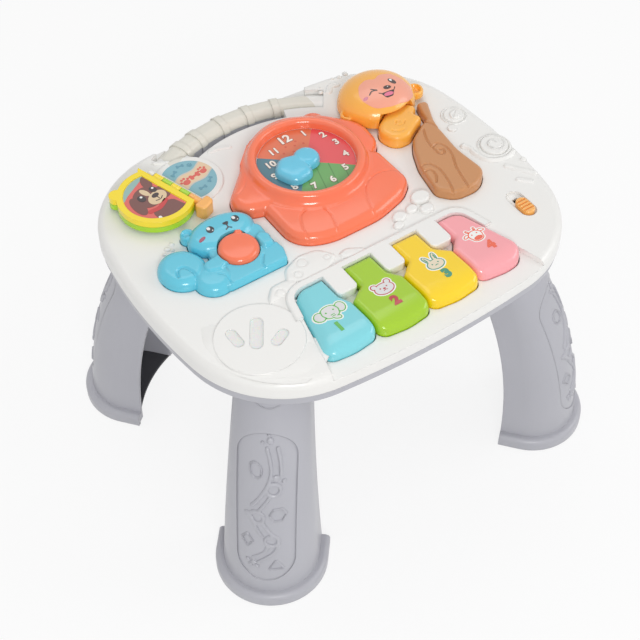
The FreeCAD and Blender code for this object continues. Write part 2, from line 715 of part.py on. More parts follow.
# Shells
def raised_reliefs():
    """Low raised shapes on the tray: the book's round bases, the window disc, stones and discs."""
    reliefs = []
    for side in (-1, 1):
        at = book_point(side * BOOK_BASE_OUT, 0)
        reliefs.append(pebble(circle(at, BOOK_BASE_R), PLATE_Z, TRAY_Z + BOOK_BASE_RISE, 1.5))
    reliefs.append(pebble(circle(LENS_DISC_AT, LENS_DISC_R), PLATE_Z, TRAY_Z + LENS_DISC_RISE, DISC_ROUND))
    for x, y, along, across, rise in STONES:
        reliefs.append(pebble(oval((x, y), (along, across)), PLATE_Z, TRAY_Z + rise, STONE_ROUND))
    for x, y, radius, rise in TRAY_DISCS:
        reliefs.append(pebble(circle((x, y), radius), PLATE_Z, TRAY_Z + rise, DISC_ROUND))
    return reliefs


def top_shell():
    outer = prism(table_outline(0), SEAM_Z, TRAY_Z)
    outer = soft_top(outer, TRAY_Z, RIM_ROUND)
    outer = outer.cut(slot_cut(SEAM_Z - 1, TRAY_Z + 1))
    outer = outer.cut(handle_rebates(0, HANDLE_REBATE_Z, TRAY_Z + 1))
    handle = layer(grip(), SEAM_Z, TRAY_Z + 10).cut(slot_cut(SEAM_Z, HANDLE_SEAM_Z))
    wall_deg = math.degrees(WALL / HANDLE_MID_R)
    hollow = prism(table_outline(WALL), SEAM_Z - 1, PLATE_Z)
    hollow = hollow.cut(sector(SLOT_INNER_R - WALL, HANDLE_OUTER_R + 20, SLOT_FROM_DEG - wall_deg,
                               SLOT_TO_DEG + wall_deg, SEAM_Z - 1, PLATE_Z + 1))
    hollow = hollow.cut(handle_rebates(WALL, HANDLE_REBATE_Z - WALL, PLATE_Z + 1))
    hollow = hollow.cut(prism(key_field(POCKET_MARGIN, 0), SEAM_Z - 1, PLATE_Z + 1))
    hollow = hollow.cut(prism(key_field(POCKET_MARGIN, 40), POCKET_Z - WALL, PLATE_Z + 1))
    grip_hollow = swept(grip_profile(-WALL), SLOT_FROM_DEG - wall_deg, SLOT_TO_DEG + wall_deg)
    shell = outer.cut(hollow)
    shell = shell.fuse(handle.cut(hollow)).cut(grip_hollow)
    shell = fused([shell] + raised_reliefs() + [book_back_post()])
    shell = with_key_pocket(shell)
    for plates in (bear_plates(), squirrel_plates(), hand_plates(), trunk_plates()):
        shell = cut_for(shell, plates)
    shell = with_monkey_opening(shell)
    shell = with_switch_recess(shell)
    for x, y, width, length, turn in LENSES:
        shell = shell.cut(prism(pill((x, y), width, length, turn), PLATE_Z - 1, TRAY_Z + LENS_DISC_RISE + 1))
    return shell.cut(book_rod())


def with_key_pocket(shell):
    """Cuts the keys' pocket, open towards the front rim, and adds its raised border and tabs."""
    recess = prism(key_field(KEY_GAP, 40), POCKET_Z, TRAY_Z + 10)
    shell = shell.cut(recess)
    ring = pebble(key_field(BEZEL_WIDTH, 0), PLATE_Z, TRAY_Z + BEZEL_RISE, 2.4)
    ring = ring.cut(prism(key_field(KEY_GAP, 40), PLATE_Z - 1, TRAY_Z + 10))
    reach = 2 * TABLE_HALF_X
    ring = ring.cut(box((-reach, -reach, 0), (reach, BEZEL_FRONT_Y, TRAY_Z + 20)))
    shell = fused([shell, ring])
    for index in range(len(KEY_FRONT_Y)):
        shell = shell.cut(prism(grown(key_outline(index), KEY_GAP), POCKET_FLOOR_Z, POCKET_Z + 1))
    tabs = []
    for left, right in KEY_TABS:
        outline = rounded([(left, KEY_BACK_Y + 3, 0.5), (left, KEY_SHOULDER_Y, 5.0), (right, KEY_SHOULDER_Y, 5.0),
                           (right, KEY_BACK_Y + 3, 0.5)])
        tabs.append(pebble(outline, SEAM_Z, TRAY_Z + BEZEL_RISE, 1.2))
    shell = fused([shell] + tabs)
    shell = shell.cut(key_rod())
    for index in range(len(KEY_FRONT_Y)):
        hole = cylinder((key_middle_x(index), KEY_PAD_Y), KEY_PAD_R + GAP, SEAM_Z - 1, POCKET_FLOOR_Z + 1)
        shell = shell.cut(hole)
    return shell


def monkey_level_radii(rise):
    """Half axes of the monkey's head at a height above the tray."""
    high = MONKEY_RISE - MONKEY_MID_RISE
    share = math.sqrt(1 - ((rise - MONKEY_MID_RISE) / high) ** 2)
    return (MONKEY_R[0] * share, MONKEY_R[1] * share)


def monkey_neck_radii(grow):
    radii = monkey_level_radii(MONKEY_TRAVEL)
    return (radii[0] - MONKEY_NECK + grow, radii[1] - MONKEY_NECK + grow)


def with_monkey_opening(shell):
    opening = prism(ellipse(MONKEY_AT, monkey_neck_radii(CUTOUT_GAP)), PLATE_Z - 1, TRAY_Z + 1)
    return shell.cut(opening)


def with_switch_recess(shell):
    pad = prism(grown(pill(SWITCH_AT, SWITCH_SIZE[0], SWITCH_SIZE[1], 0), WALL),
                TRAY_Z - SWITCH_SINK - WALL, TRAY_Z)
    shell = fused([shell, pad])
    recess = prism(pill(SWITCH_AT, SWITCH_SIZE[0], SWITCH_SIZE[1], 0), TRAY_Z - SWITCH_SINK, TRAY_Z + 1)
    shell = shell.cut(recess)
    at_y = slider_rest_y()
    slot = box((SWITCH_AT[0] - SLIDER_STEM[0] / 2 - GAP, at_y - SLIDER_STEM[1] / 2 - GAP, PLATE_Z - 10),
               (SWITCH_AT[0] + SLIDER_STEM[0] / 2 + GAP, at_y + SLIDER_STEM[1] / 2 + SLIDER_TRAVEL + GAP, TRAY_Z))
    shell = shell.cut(slot)
    hangers = []
    for side in (-1, 1):
        x = SWITCH_AT[0] + side * (SLIDER_STEM[0] / 2 + 3.5)
        hangers.append(box((x - 1.5, SWITCH_AT[1] - 10, switch_body_top()),
                           (x + 1.5, SWITCH_AT[1] + 10, TRAY_Z - SWITCH_SINK - WALL)))
    return fused([shell] + hangers)


def slider_rest_y():
    return SWITCH_AT[1] - SWITCH_SIZE[1] / 2 + SLIDER_SIZE[1] / 2 + 1.5


def switch_body_top():
    return TRAY_Z - SWITCH_SINK - WALL - 3.0


def switch_slider():
    base = TRAY_Z - SWITCH_SINK + GAP
    at = (SWITCH_AT[0], slider_rest_y())
    knob = pebble(pill(at, SLIDER_SIZE[0], SLIDER_SIZE[1], 0), base, TRAY_Z + SLIDER_RISE, 1.5)
    for index in range(SLIDER_RIBS):
        y = at[1] + (index - (SLIDER_RIBS - 1) / 2) * 3.6
        groove = box((at[0] - 10, y - 0.7, TRAY_Z + SLIDER_RISE - 1.2), (at[0] + 10, y + 0.7, TRAY_Z + 20))
        knob = knob.cut(groove)
    stem = box((at[0] - SLIDER_STEM[0] / 2, at[1] - SLIDER_STEM[1] / 2, switch_body_top() + GAP),
               (at[0] + SLIDER_STEM[0] / 2, at[1] + SLIDER_STEM[1] / 2, base + 1))
    return fused([knob, stem])


def switch_body():
    top = switch_body_top()
    return box((SWITCH_AT[0] - 8, SWITCH_AT[1] - 14, top - SWITCH_BODY_H), (SWITCH_AT[0] + 8, SWITCH_AT[1] + 14, top))


def leg_places():
    """Name, foot centre and outward angle of each leg."""
    places = []
    for depth, sy in (("front", -1), ("back", 1)):
        for side, sx in (("left", -1), ("right", 1)):
            angle = math.degrees(math.atan2(sy * math.sin(math.radians(LEG_TURN_DEG)),
                                            sx * math.cos(math.radians(LEG_TURN_DEG))))
            places.append((depth + "_" + side, (sx * FOOT_CENTRE[0], sy * FOOT_CENTRE[1]), angle))
    return places


def to_leg(shape, at, angle):
    placed = shape.copy()
    placed.rotate(V(0, 0, 0), UP, angle)
    placed.translate(V(at[0], at[1], 0))
    return placed


def leg_share(z):
    return max(0.0, (z - FOOT_TOP_Z) / (SKIRT_Z - FOOT_TOP_Z))


def leg_offset(z):
    """How far the section's centre has moved inward at a height."""
    return -LEG_LEAN * leg_share(z) ** LEG_CURVE


def leg_half(z):
    return LEG_HALF_BOTTOM + (LEG_HALF_TOP - LEG_HALF_BOTTOM) * leg_share(z)


def u_wire(centre_x, half, back, z):
    """Half circle facing outward with straight sides running inward."""
    start = V(centre_x - back, -half, z)
    end = V(centre_x - back, half, z)
    first = V(centre_x, -half, z)
    last = V(centre_x, half, z)
    edges = [Part.LineSegment(start, first).toShape(),
             Part.Arc(first, V(centre_x + half, 0, z), last).toShape(),
             Part.LineSegment(last, end).toShape(),
             Part.LineSegment(end, start).toShape()]
    return Part.Wire(edges)


def leg_loft(inset, low, high, back):
    wires = []
    for step in range(LEG_LOFT_STEPS + 1):
        z = low + (high - low) * step / LEG_LOFT_STEPS
        wires.append(u_wire(leg_offset(z), leg_half(z) - inset, back, z))
    return Part.makeLoft(wires, True, False)


def leg():
    """A leg open on its inner side, with a flanged foot, a sunk panel and a plug on top."""
    outer = leg_loft(0, FOOT_TOP_Z, SKIRT_Z, LEG_SIDE)
    foot = prism(u_wire(0, FOOT_HALF, LEG_SIDE, 0), SOLE_PROUD, FOOT_TOP_Z)
    rim = [e for e in level_edges(foot, FOOT_TOP_Z) if e.BoundBox.XMax > -LEG_SIDE + 0.01]
    foot = foot.makeFillet(FOOT_ROUND, rim)
    hollow = leg_loft(LEG_WALL, FOOT_TOP_Z, SKIRT_Z, LEG_SIDE + 2 * FOOT_HALF)
    hollow = layer(hollow, 0, SKIRT_Z - LEG_WALL)
    foot_hollow = prism(u_wire(0, LEG_HALF_BOTTOM - LEG_WALL, LEG_SIDE + FOOT_HALF, 0), 0, FOOT_TOP_Z)
    sole_seat = prism(u_wire(0, FOOT_HALF - SOLE_EDGE + GAP, LEG_SIDE + FOOT_HALF, 0), 0, SOLE_T)
    plug = prism(u_wire(leg_offset(SKIRT_Z), LEG_HALF_TOP - PLUG_INSET, LEG_SIDE - PLUG_INSET, 0),
                 SKIRT_Z - 1, SKIRT_Z + PLUG_H)
    body = fused([outer, foot, plug]).cut(hollow).cut(foot_hollow).cut(sole_seat)
    return body.cut(leg_panel())


def leg_panel():
    """The thin layer taken off the outer face inside the long rounded panel."""
    wire = pill((0, 0), PANEL_WIDTH, PANEL_HEIGHT, 0)
    wire.rotate(V(0, 0, 0), V(1, 0, 0), 90)
    wire.rotate(V(0, 0, 0), UP, 90)
    wire.translate(V(-LEG_LEAN, 0, PANEL_CENTRE_Z))
    column = Part.Face(wire).extrude(V(LEG_LEAN + 2 * FOOT_HALF, 0, 0))
    core = leg_loft(PANEL_DEPTH, FOOT_TOP_Z, SKIRT_Z, LEG_SIDE)
    outward = box((-LEG_LEAN, -FOOT_HALF, 0), (2 * FOOT_HALF, FOOT_HALF, SKIRT_Z))
    return column.common(outward).cut(core)


def sole_pad():
    """Rubber pad under the foot, with a shallow curve on its inner edge."""
    half = FOOT_HALF - SOLE_EDGE
    inner = -LEG_SIDE
    first = V(inner, -half, 0)
    last = V(inner, half, 0)
    edges = [Part.LineSegment(first, V(0, -half, 0)).toShape(),
             Part.Arc(V(0, -half, 0), V(half, 0, 0), V(0, half, 0)).toShape(),
             Part.LineSegment(V(0, half, 0), last).toShape(),
             Part.Arc(last, V(inner + SOLE_SAG, 0, 0), first).toShape()]
    return prism(Part.Wire(edges), 0, SOLE_T)


def tub_outline(grow):
    x = TUB_X / 2 + grow
    low = TUB_CENTRE_Y - TUB_Y / 2 - grow
    high = TUB_CENTRE_Y + TUB_Y / 2 + grow
    radius = TUB_CORNER_R + grow
    return rounded([(-x, low, radius), (x, low, radius), (x, high, radius), (-x, high, radius)])


def battery_box_size():
    return BATTERY_COUNT * BATTERY_PITCH + 1.0, BATTERY_L + BATTERY_NIPPLE_L + 4 * CONTACT_T + 1.0


def door_size():
    across, along = battery_box_size()
    return across + 2 * DOOR_LAP, along + 2 * DOOR_LAP + 10


def door_plate(grow, low, high):
    across, along = door_size()
    x = across / 2 + grow
    y = along / 2 + grow
    outline = rounded([(BATTERY_BOX_X - x, TUB_CENTRE_Y - y, 4), (BATTERY_BOX_X + x, TUB_CENTRE_Y - y, 4),
                       (BATTERY_BOX_X + x, TUB_CENTRE_Y + y, 4), (BATTERY_BOX_X - x, TUB_CENTRE_Y + y, 4)])
    return prism(outline, low, high)


def battery_room(grow, low, high):
    across, along = battery_box_size()
    return box((BATTERY_BOX_X - across / 2 - grow, TUB_CENTRE_Y - along / 2 - grow, low),
               (BATTERY_BOX_X + across / 2 + grow, TUB_CENTRE_Y + along / 2 + grow, high))


def door_screw_at():
    return (BATTERY_BOX_X, TUB_CENTRE_Y + door_size()[1] / 2 - 5.0)


def shell_screw_places():
    """Screws that join the shells, under the rim and beside the tub."""
    return [(-150.0, -30.0), (150.0, -20.0), (-150.0, 40.0), (150.0, 50.0), (0.0, -75.0), (0.0, 100.0)]


def bottom_shell():
    skirt = prism(table_outline(SKIRT_INSET), SKIRT_Z, SEAM_Z)
    skirt = soft_top(skirt, SKIRT_Z, SKIRT_ROUND)
    skirt = skirt.cut(slot_cut(SKIRT_Z - 1, SEAM_Z + 1))
    hollow = prism(table_outline(SKIRT_INSET + WALL), FLOOR_Z, SEAM_Z + 1)
    wall_deg = math.degrees(WALL / HANDLE_MID_R)
    hollow = hollow.cut(sector(SLOT_INNER_R - WALL, HANDLE_OUTER_R + 20, SLOT_FROM_DEG - wall_deg,
                               SLOT_TO_DEG + wall_deg, FLOOR_Z - 1, SEAM_Z + 1))
    handle = layer(grip(), SKIRT_Z, SEAM_Z).fuse(slot_grip(SEAM_Z, HANDLE_SEAM_Z))
    shell = skirt.cut(hollow)
    shell = shell.fuse(handle.cut(hollow))
    shell = shell.cut(swept(grip_profile(-WALL), SLOT_FROM_DEG - wall_deg, SLOT_TO_DEG + wall_deg))
    tub = soft_top(prism(tub_outline(0), TUB_Z, FLOOR_Z), TUB_Z, SKIRT_ROUND)
    shell = fused([shell, tub])
    shell = shell.cut(prism(tub_outline(-WALL), TUB_Z + WALL, FLOOR_Z + 1))
    inside = [leg_cup(at, angle) for name, at, angle in leg_places()]
    inside.append(battery_room(WALL, TUB_Z + 0.5, TUB_Z + WALL + DOOR_T + 2 * BATTERY_R + 1))
    inside.append(door_boss())
    for x, y in shell_screw_places():
        inside.append(cylinder((x, y), SCREW_HEAD_R + WALL, SKIRT_Z, SEAM_Z))
    inside.extend(board_posts())
    inside.append(cylinder(NUT_AT, SPRING_R + 2, SKIRT_Z, FLOOR_Z + 1))
    shell = fused([shell] + inside)
    for name, at, angle in leg_places():
        shell = shell.cut(leg_plug_room(at, angle))
    shell = shell.cut(battery_room(0, TUB_Z - 1, TUB_Z + WALL + DOOR_T + 2 * BATTERY_R + 0.5))
    shell = shell.cut(door_plate(GAP, TUB_Z - 1, TUB_Z + DOOR_T))
    shell = shell.cut(cylinder(door_screw_at(), SCREW_R, TUB_Z, TUB_Z + 11))
    for x, y in shell_screw_places():
        shell = shell.cut(cylinder((x, y), SCREW_HEAD_R + GAP, SKIRT_Z - 1, SKIRT_Z + SCREW_HEAD_H))
        shell = shell.cut(cylinder((x, y), SCREW_R, SKIRT_Z, SEAM_Z + 1))
    for slot in grille():
        shell = shell.cut(slot)
    return shell


def leg_plug_room(at, angle):
    room = prism(u_wire(leg_offset(SKIRT_Z), LEG_HALF_TOP - PLUG_INSET + GAP, LEG_SIDE - PLUG_INSET + GAP, 0),
                 SKIRT_Z - 1, SKIRT_Z + PLUG_H + GAP)
    return to_leg(room, at, angle)


def leg_cup(at, angle):
    cup = prism(u_wire(leg_offset(SKIRT_Z), LEG_HALF_TOP - PLUG_INSET + GAP + WALL,
                       LEG_SIDE - PLUG_INSET + GAP + WALL, 0), SKIRT_Z, cup_top())
    return to_leg(cup, at, angle)


def cup_top():
    return SKIRT_Z + PLUG_H + GAP + WALL


def door_boss():
    return cylinder(door_screw_at(), SCREW_R + WALL, TUB_Z + 0.5, TUB_Z + 12)


def board_posts():
    """Posts under the main board, the key board and the window board."""
    posts = []
    for at in main_board_corners():
        posts.append(cylinder(at, 3.0, TUB_Z + 1, main_board_z()))
    for at in ((key_board_span()[0] + 6, KEY_PAD_Y), (key_board_span()[1] - 6, KEY_PAD_Y)):
        posts.append(cylinder(at, 3.0, SKIRT_Z + 1, SEAM_Z - BOARD_T))
    posts.append(cylinder((LENS_DISC_AT[0] + 14, LENS_DISC_AT[1] + 8), 3.0, SKIRT_Z + 1, lens_board_z()))
    posts.append(cylinder((LENS_DISC_AT[0] - 14, LENS_DISC_AT[1] - 10), 3.0, SKIRT_Z + 1, lens_board_z()))
    return posts


def main_board_z():
    return FLOOR_Z + 3.0


def main_board_corners():
    x = TUB_X / 2 - 9
    y = TUB_Y / 2 - 9
    return [(-x, TUB_CENTRE_Y - y), (x, TUB_CENTRE_Y - y), (-x, TUB_CENTRE_Y + y), (x, TUB_CENTRE_Y + y)]


def main_board():
    x = TUB_X / 2 - 5
    y = TUB_Y / 2 - 5
    board = box((-x, TUB_CENTRE_Y - y, main_board_z()), (x, TUB_CENTRE_Y + y, main_board_z() + BOARD_T))
    chip = box((-12, TUB_CENTRE_Y - 8, main_board_z() + BOARD_T - 0.2), (4, TUB_CENTRE_Y + 8, main_board_z() + 4))
    return fused([board, chip])


def key_board_span():
    return KEY_LEFT_FRONT_X + 6, KEY_RIGHT_FRONT_X - 6


def key_board():
    left, right = key_board_span()
    return box((left, KEY_PAD_Y - 9, SEAM_Z - BOARD_T), (right, KEY_PAD_Y + 9, SEAM_Z))


def key_pads():
    pads = []
    for index in range(len(KEY_FRONT_Y)):
        pads.append(pebble(circle((key_middle_x(index), KEY_PAD_Y), KEY_PAD_R), SEAM_Z, SEAM_Z + KEY_PAD_H, 1.5))
    return Part.Compound(pads)


def lens_board_z():
    return SEAM_Z + 2.0


def lens_board():
    """Board with a small light under each window."""
    plate = cylinder(LENS_DISC_AT, LENS_DISC_R - 10, lens_board_z(), lens_board_z() + BOARD_T)
    lights = []
    for x, y, width, length, turn in LENSES:
        lights.append(cylinder((x, y), 2.2, lens_board_z() + BOARD_T - 0.2, lens_board_z() + BOARD_T + 4))
    return fused([plate] + lights)


def lenses():
    parts = []
    for x, y, width, length, turn in LENSES:
        top = TRAY_Z + LENS_DISC_RISE - LENS_SINK
        lens = prism(pill((x, y), width - 2 * PIN_GAP, length - 2 * PIN_GAP, turn), PLATE_Z - LENS_FLANGE_T, top)
        flange = prism(pill((x, y), width + 2 * FLANGE_W, length + 2 * FLANGE_W, turn), PLATE_Z - LENS_FLANGE_T,
                       PLATE_Z)
        parts.append(fused([lens, flange]))
    return Part.Compound(parts)


def battery_places():
    across = BATTERY_COUNT * BATTERY_PITCH
    return [BATTERY_BOX_X - across / 2 + (index + 0.5) * BATTERY_PITCH for index in range(BATTERY_COUNT)]


def batteries():
    cells = []
    z = TUB_Z + DOOR_T + BATTERY_R + GAP
    for index, x in enumerate(battery_places()):
        turn = 1 if index % 2 == 0 else -1
        middle = TUB_CENTRE_Y - turn * BATTERY_NIPPLE_L / 2
        start = V(x, middle - turn * BATTERY_L / 2, z)
        can = Part.makeCylinder(BATTERY_R, BATTERY_L, start, V(0, turn, 0))
        nipple = Part.makeCylinder(BATTERY_NIPPLE_R, BATTERY_NIPPLE_L, V(x, middle + turn * BATTERY_L / 2, z),
                                   V(0, turn, 0))
        cells.append(fused([can, nipple]))
    return Part.Compound(cells)


def battery_contacts():
    across, along = battery_box_size()
    plates = []
    z = TUB_Z + DOOR_T + 2
    for side in (-1, 1):
        for x in battery_places():
            wall = TUB_CENTRE_Y + side * along / 2
            inner = wall - side * CONTACT_T
            plates.append(box((x - 5, min(wall, inner), z), (x + 5, max(wall, inner), z + 2 * BATTERY_R - 4)))
    return Part.Compound(plates)


def battery_door():
    door = door_plate(0, TUB_Z, TUB_Z + DOOR_T)
    door = door.cut(cylinder(door_screw_at(), SCREW_R + GAP, TUB_Z - 1, TUB_Z + DOOR_T + 1))
    return door.cut(cylinder(door_screw_at(), SCREW_HEAD_R + GAP, TUB_Z - 1, TUB_Z + 1.2))


def screw(at, head_low, length):
    """A pan-head screw pointing up."""
    head = cylinder(at, SCREW_HEAD_R, head_low - 0.8, head_low)
    shank = cylinder(at, SCREW_R, head_low, head_low + length)
    return fused([head, shank])


def speaker():
    at = (SPEAKER_X, TUB_CENTRE_Y)
    low = TUB_Z + WALL
    frame = cylinder(at, SPEAKER_R, low, low + 3)
    basket = Part.makeCone(SPEAKER_R - 2, SPEAKER_R * 0.55, 4, V(at[0], at[1], low + 3))
    magnet = cylinder(at, SPEAKER_R * 0.5, low + 7, low + SPEAKER_H)
    return fused([frame, basket, magnet])


def grille():
    slots = []
    for index in range(GRILLE_SLOTS):
        offset = (index - (GRILLE_SLOTS - 1) / 2) * GRILLE_PITCH
        half = math.sqrt((SPEAKER_R - 3) ** 2 - offset ** 2)
        slots.append(prism(pill((SPEAKER_X + offset, TUB_CENTRE_Y), GRILLE_WIDTH, 2 * half, 0),
                           TUB_Z - 1, TUB_Z + WALL + 0.01))
    return slots


# Bear and clock
def bear_cover():
    plates = bear_plates()
    body = cover(plates, squirrel_plates() + hand_plates() + trunk_plates())
    at = (CLOCK_X, CLOCK_Y)
    ring = pebble(circle(at, RING_OUTER_R), FLANGE_Z, TRAY_Z + RING_RISE, RING_ROUND)
    ring = ring.cut(cylinder(at, RING_OUTER_R - WALL, FLANGE_Z - 1, DIAL_Z - DIAL_T - WALL))
    boss = cylinder(at, SPINDLE_BOSS_R, DIAL_Z - DIAL_T - SPINDLE_BOSS_H, DIAL_Z - DIAL_T)
    body = fused([body, ring, boss])
    body = body.cut(cylinder(at, RING_INNER_R, DIAL_Z - DIAL_T, TRAY_Z + RING_RISE + 1))
    return body.cut(cylinder(at, SPINDLE_R + PIN_GAP, FLANGE_Z, DIAL_Z + 1))


def clock_dial():
    at = (CLOCK_X, CLOCK_Y)
    disc = cylinder(at, RING_INNER_R - PIN_GAP, DIAL_Z - DIAL_T, DIAL_Z)
    return disc.cut(cylinder(at, SPINDLE_R + PIN_GAP, DIAL_Z - DIAL_T - 1, DIAL_Z + 1))


def clock_knob():
    low = DIAL_Z + GAP
    hub = pebble(circle((CLOCK_X, CLOCK_Y), HUB_R), low, low + POINTER_H, POINTER_ROUND)
    x = CLOCK_X + POINTER_AT[0]
    y = CLOCK_Y + POINTER_AT[1]
    egg = rounded([(x - 17, y + 4, 11), (x - 8, y - 18, 11), (x + 14, y - 15, 10), (x + 18, y + 12, 10),
                   (x - 4, y + 18, 12)])
    pointer = pebble(egg, low, low + POINTER_H, POINTER_ROUND)
    return fused([hub, pointer]).cut(spindle_pin(0))


def spindle_pin(grow):
    low = DIAL_Z - DIAL_T - SPINDLE_BOSS_H - GAP - WASHER_T
    return cylinder((CLOCK_X, CLOCK_Y), SPINDLE_R + grow, low, DIAL_Z + GAP + POINTER_H - 2)


def clock_washer():
    high = DIAL_Z - DIAL_T - SPINDLE_BOSS_H - GAP
    return cylinder((CLOCK_X, CLOCK_Y), WASHER_R, high - WASHER_T, high).cut(spindle_pin(0))


# Squirrel and nut
def squirrel_cover():
    body = cover(squirrel_plates(), bear_plates())
    return body.cut(cylinder(NUT_AT, NUT_R + CUTOUT_GAP, FLANGE_Z - 1, TRAY_Z + NUT_RISE + 20))


def nut_button():
    cap = pebble(circle(NUT_AT, NUT_R), NUT_SKIRT_Z, TRAY_Z + NUT_RISE, NUT_ROUND)
    stop = cylinder(NUT_AT, NUT_R + NUT_LIP, NUT_SKIRT_Z, FLANGE_Z - GAP)
    return fused([cap, stop]).cut(cylinder(NUT_AT, NUT_R - WALL, NUT_SKIRT_Z + WALL, TRAY_Z + NUT_RISE - WALL))


def spring(at, low, high):
    """A coil spring standing on its seat."""
    pitch = (high - low - 2 * SPRING_WIRE_R) / SPRING_TURNS
    helix = Part.makeHelix(pitch, high - low - 2 * SPRING_WIRE_R, SPRING_R)
    section = Part.Wire(Part.Circle(V(SPRING_R, 0, 0), V(0, 1, 0), SPRING_WIRE_R).toShape())
    coil = helix.makePipeShell([section], True, True)
    coil.translate(V(at[0], at[1], low + SPRING_WIRE_R))
    return coil


# Monkey
def monkey_ball(inset):
    high = MONKEY_RISE - MONKEY_MID_RISE - inset
    scale = FreeCAD.Matrix()
    scale.scale(MONKEY_R[0] - inset, MONKEY_R[1] - inset, high)
    ball = Part.makeSphere(1.0).transformGeometry(scale)
    ball.translate(V(MONKEY_AT[0], MONKEY_AT[1], TRAY_Z + MONKEY_MID_RISE))
    return ball


def monkey_head():
    """A hollow press-in ball, flat below, with round ears and a stop flange under the tray."""
    low = TRAY_Z + MONKEY_TRAVEL + GAP
    high = TRAY_Z + 2 * MONKEY_RISE
    parts = [layer(monkey_ball(0), low, high)]
    for x, y, radius in MONKEY_EARS:
        ear = pebble(circle((x, y), radius), low, low + MONKEY_EAR_H, MONKEY_EAR_RIM * 0.45)
        parts.append(ear.cut(cylinder((x, y), radius - MONKEY_EAR_RIM, low + MONKEY_EAR_H - MONKEY_EAR_SINK,
                                      low + MONKEY_EAR_H + 1)))
    parts.append(prism(ellipse(MONKEY_AT, monkey_neck_radii(0)), monkey_skirt_z(), low + 1))
    parts.append(prism(ellipse(MONKEY_AT, monkey_neck_radii(CUTOUT_GAP + FLANGE_W)), monkey_skirt_z(),
                       PLATE_Z - GAP))
    head = fused(parts)
    head = head.cut(layer(monkey_ball(WALL), low + WALL, high))
    head = head.cut(prism(ellipse(MONKEY_AT, monkey_neck_radii(-WALL)), monkey_skirt_z() + WALL, low + 2 * WALL))
    for wire, rise, radius in hand_plates() + trunk_plates():
        flange_room = prism(grown(wire, CUTOUT_GAP + FLANGE_W), 0, PLATE_Z + MONKEY_TRAVEL + GAP)
        head = head.cut(flange_room)
        head = head.cut(prism(grown(wire, CUTOUT_GAP), PLATE_Z, TRAY_Z + rise + MONKEY_TRAVEL + GAP))
    return head


def monkey_skirt_z():
    return PLATE_Z - GAP - 3.0


def main():
    os.makedirs("parts", exist_ok=True)
    save("top_shell", top_shell())
    save("bottom_shell", bottom_shell())
    one_leg = leg()
    one_pad = sole_pad()
    for name, at, angle in leg_places():
        save("leg_" + name, to_leg(one_leg, at, angle))
        save("sole_pad_" + name, to_leg(one_pad, at, angle))
    save("battery_door", battery_door())
    save("battery_door_screw", screw(door_screw_at(), TUB_Z + 1.2, 8))
    save("batteries", batteries())
    save("battery_contacts", battery_contacts())
    save("shell_screws", Part.Compound([screw(at, SKIRT_Z + SCREW_HEAD_H, 8) for at in shell_screw_places()]))
    save("speaker", speaker())
    save("circuit_board", main_board())
    save("key_board", key_board())
    save("key_pads", key_pads())
    save("key_rod", key_rod())
    for index, colour in enumerate(("cyan", "green", "yellow", "pink")):
        save("key_" + colour, key(index))
    save("bear_cover", bear_cover())
    save("clock_dial", clock_dial())
    save("clock_knob", clock_knob())
    save("clock_spindle", spindle_pin(0))
    save("clock_washer", clock_washer())
    save("squirrel_cover", squirrel_cover())
    save("nut_button", nut_button())
    save("nut_spring", spring(NUT_AT, FLOOR_Z + 1, NUT_SKIRT_Z))
    save("monkey_head", monkey_head())
    save("monkey_spring", spring(MONKEY_AT, cup_top(), monkey_skirt_z()))
    save("monkey_hand", cover(hand_plates(), trunk_plates() + bear_plates()))
    save("tree_trunk", cover(trunk_plates(), hand_plates() + bear_plates()))
    save("page_green", leaf(LEAF_LOW_Z, (0, 2)))
    save("page_yellow", leaf(LEAF_LOW_Z + LEAF_T + GAP, (1, 3)))
    save("page_rod", book_rod())
    save("hinge_cap", hinge_cap())
    save("switch_slider", switch_slider())
    save("switch_body", switch_body())
    save("light_windows", lenses())
    save("light_board", lens_board())


main()
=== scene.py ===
"""Looks of the musical activity table. Lengths are in millimetres until a mesh is made."""
import math

import bpy
import numpy as np
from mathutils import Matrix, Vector


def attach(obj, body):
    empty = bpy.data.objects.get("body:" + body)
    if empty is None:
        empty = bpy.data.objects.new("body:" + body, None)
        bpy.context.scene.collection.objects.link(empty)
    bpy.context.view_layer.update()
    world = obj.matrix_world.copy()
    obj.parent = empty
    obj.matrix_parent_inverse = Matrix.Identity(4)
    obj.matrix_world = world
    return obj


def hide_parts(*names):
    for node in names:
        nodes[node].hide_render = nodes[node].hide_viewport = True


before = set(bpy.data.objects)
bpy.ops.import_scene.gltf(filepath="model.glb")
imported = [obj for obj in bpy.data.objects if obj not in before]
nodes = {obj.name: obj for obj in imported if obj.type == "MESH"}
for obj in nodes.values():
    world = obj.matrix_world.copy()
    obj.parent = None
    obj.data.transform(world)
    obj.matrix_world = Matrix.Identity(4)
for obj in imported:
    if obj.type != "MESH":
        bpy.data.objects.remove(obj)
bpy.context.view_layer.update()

MM = 0.001
TRAY_Z = 246.5
SUNK_Z = TRAY_Z - 0.6
PRINT_THICK = 0.12


# Flat shapes: each gives a signed distance, below zero inside
def spot(at, radius):
    return lambda x, y: np.hypot(x - at[0], y - at[1]) - radius


def oval(at, radii, turn=0.0):
    c, s = math.cos(math.radians(turn)), math.sin(math.radians(turn))

    def distance(x, y):
        u = (x - at[0]) * c + (y - at[1]) * s
        v = (y - at[1]) * c - (x - at[0]) * s
        near = np.hypot(u / radii[0], v / radii[1])
        slope = np.hypot(u / radii[0] ** 2, v / radii[1] ** 2)
        return near * (near - 1) / np.maximum(slope, 1e-9)
    return distance


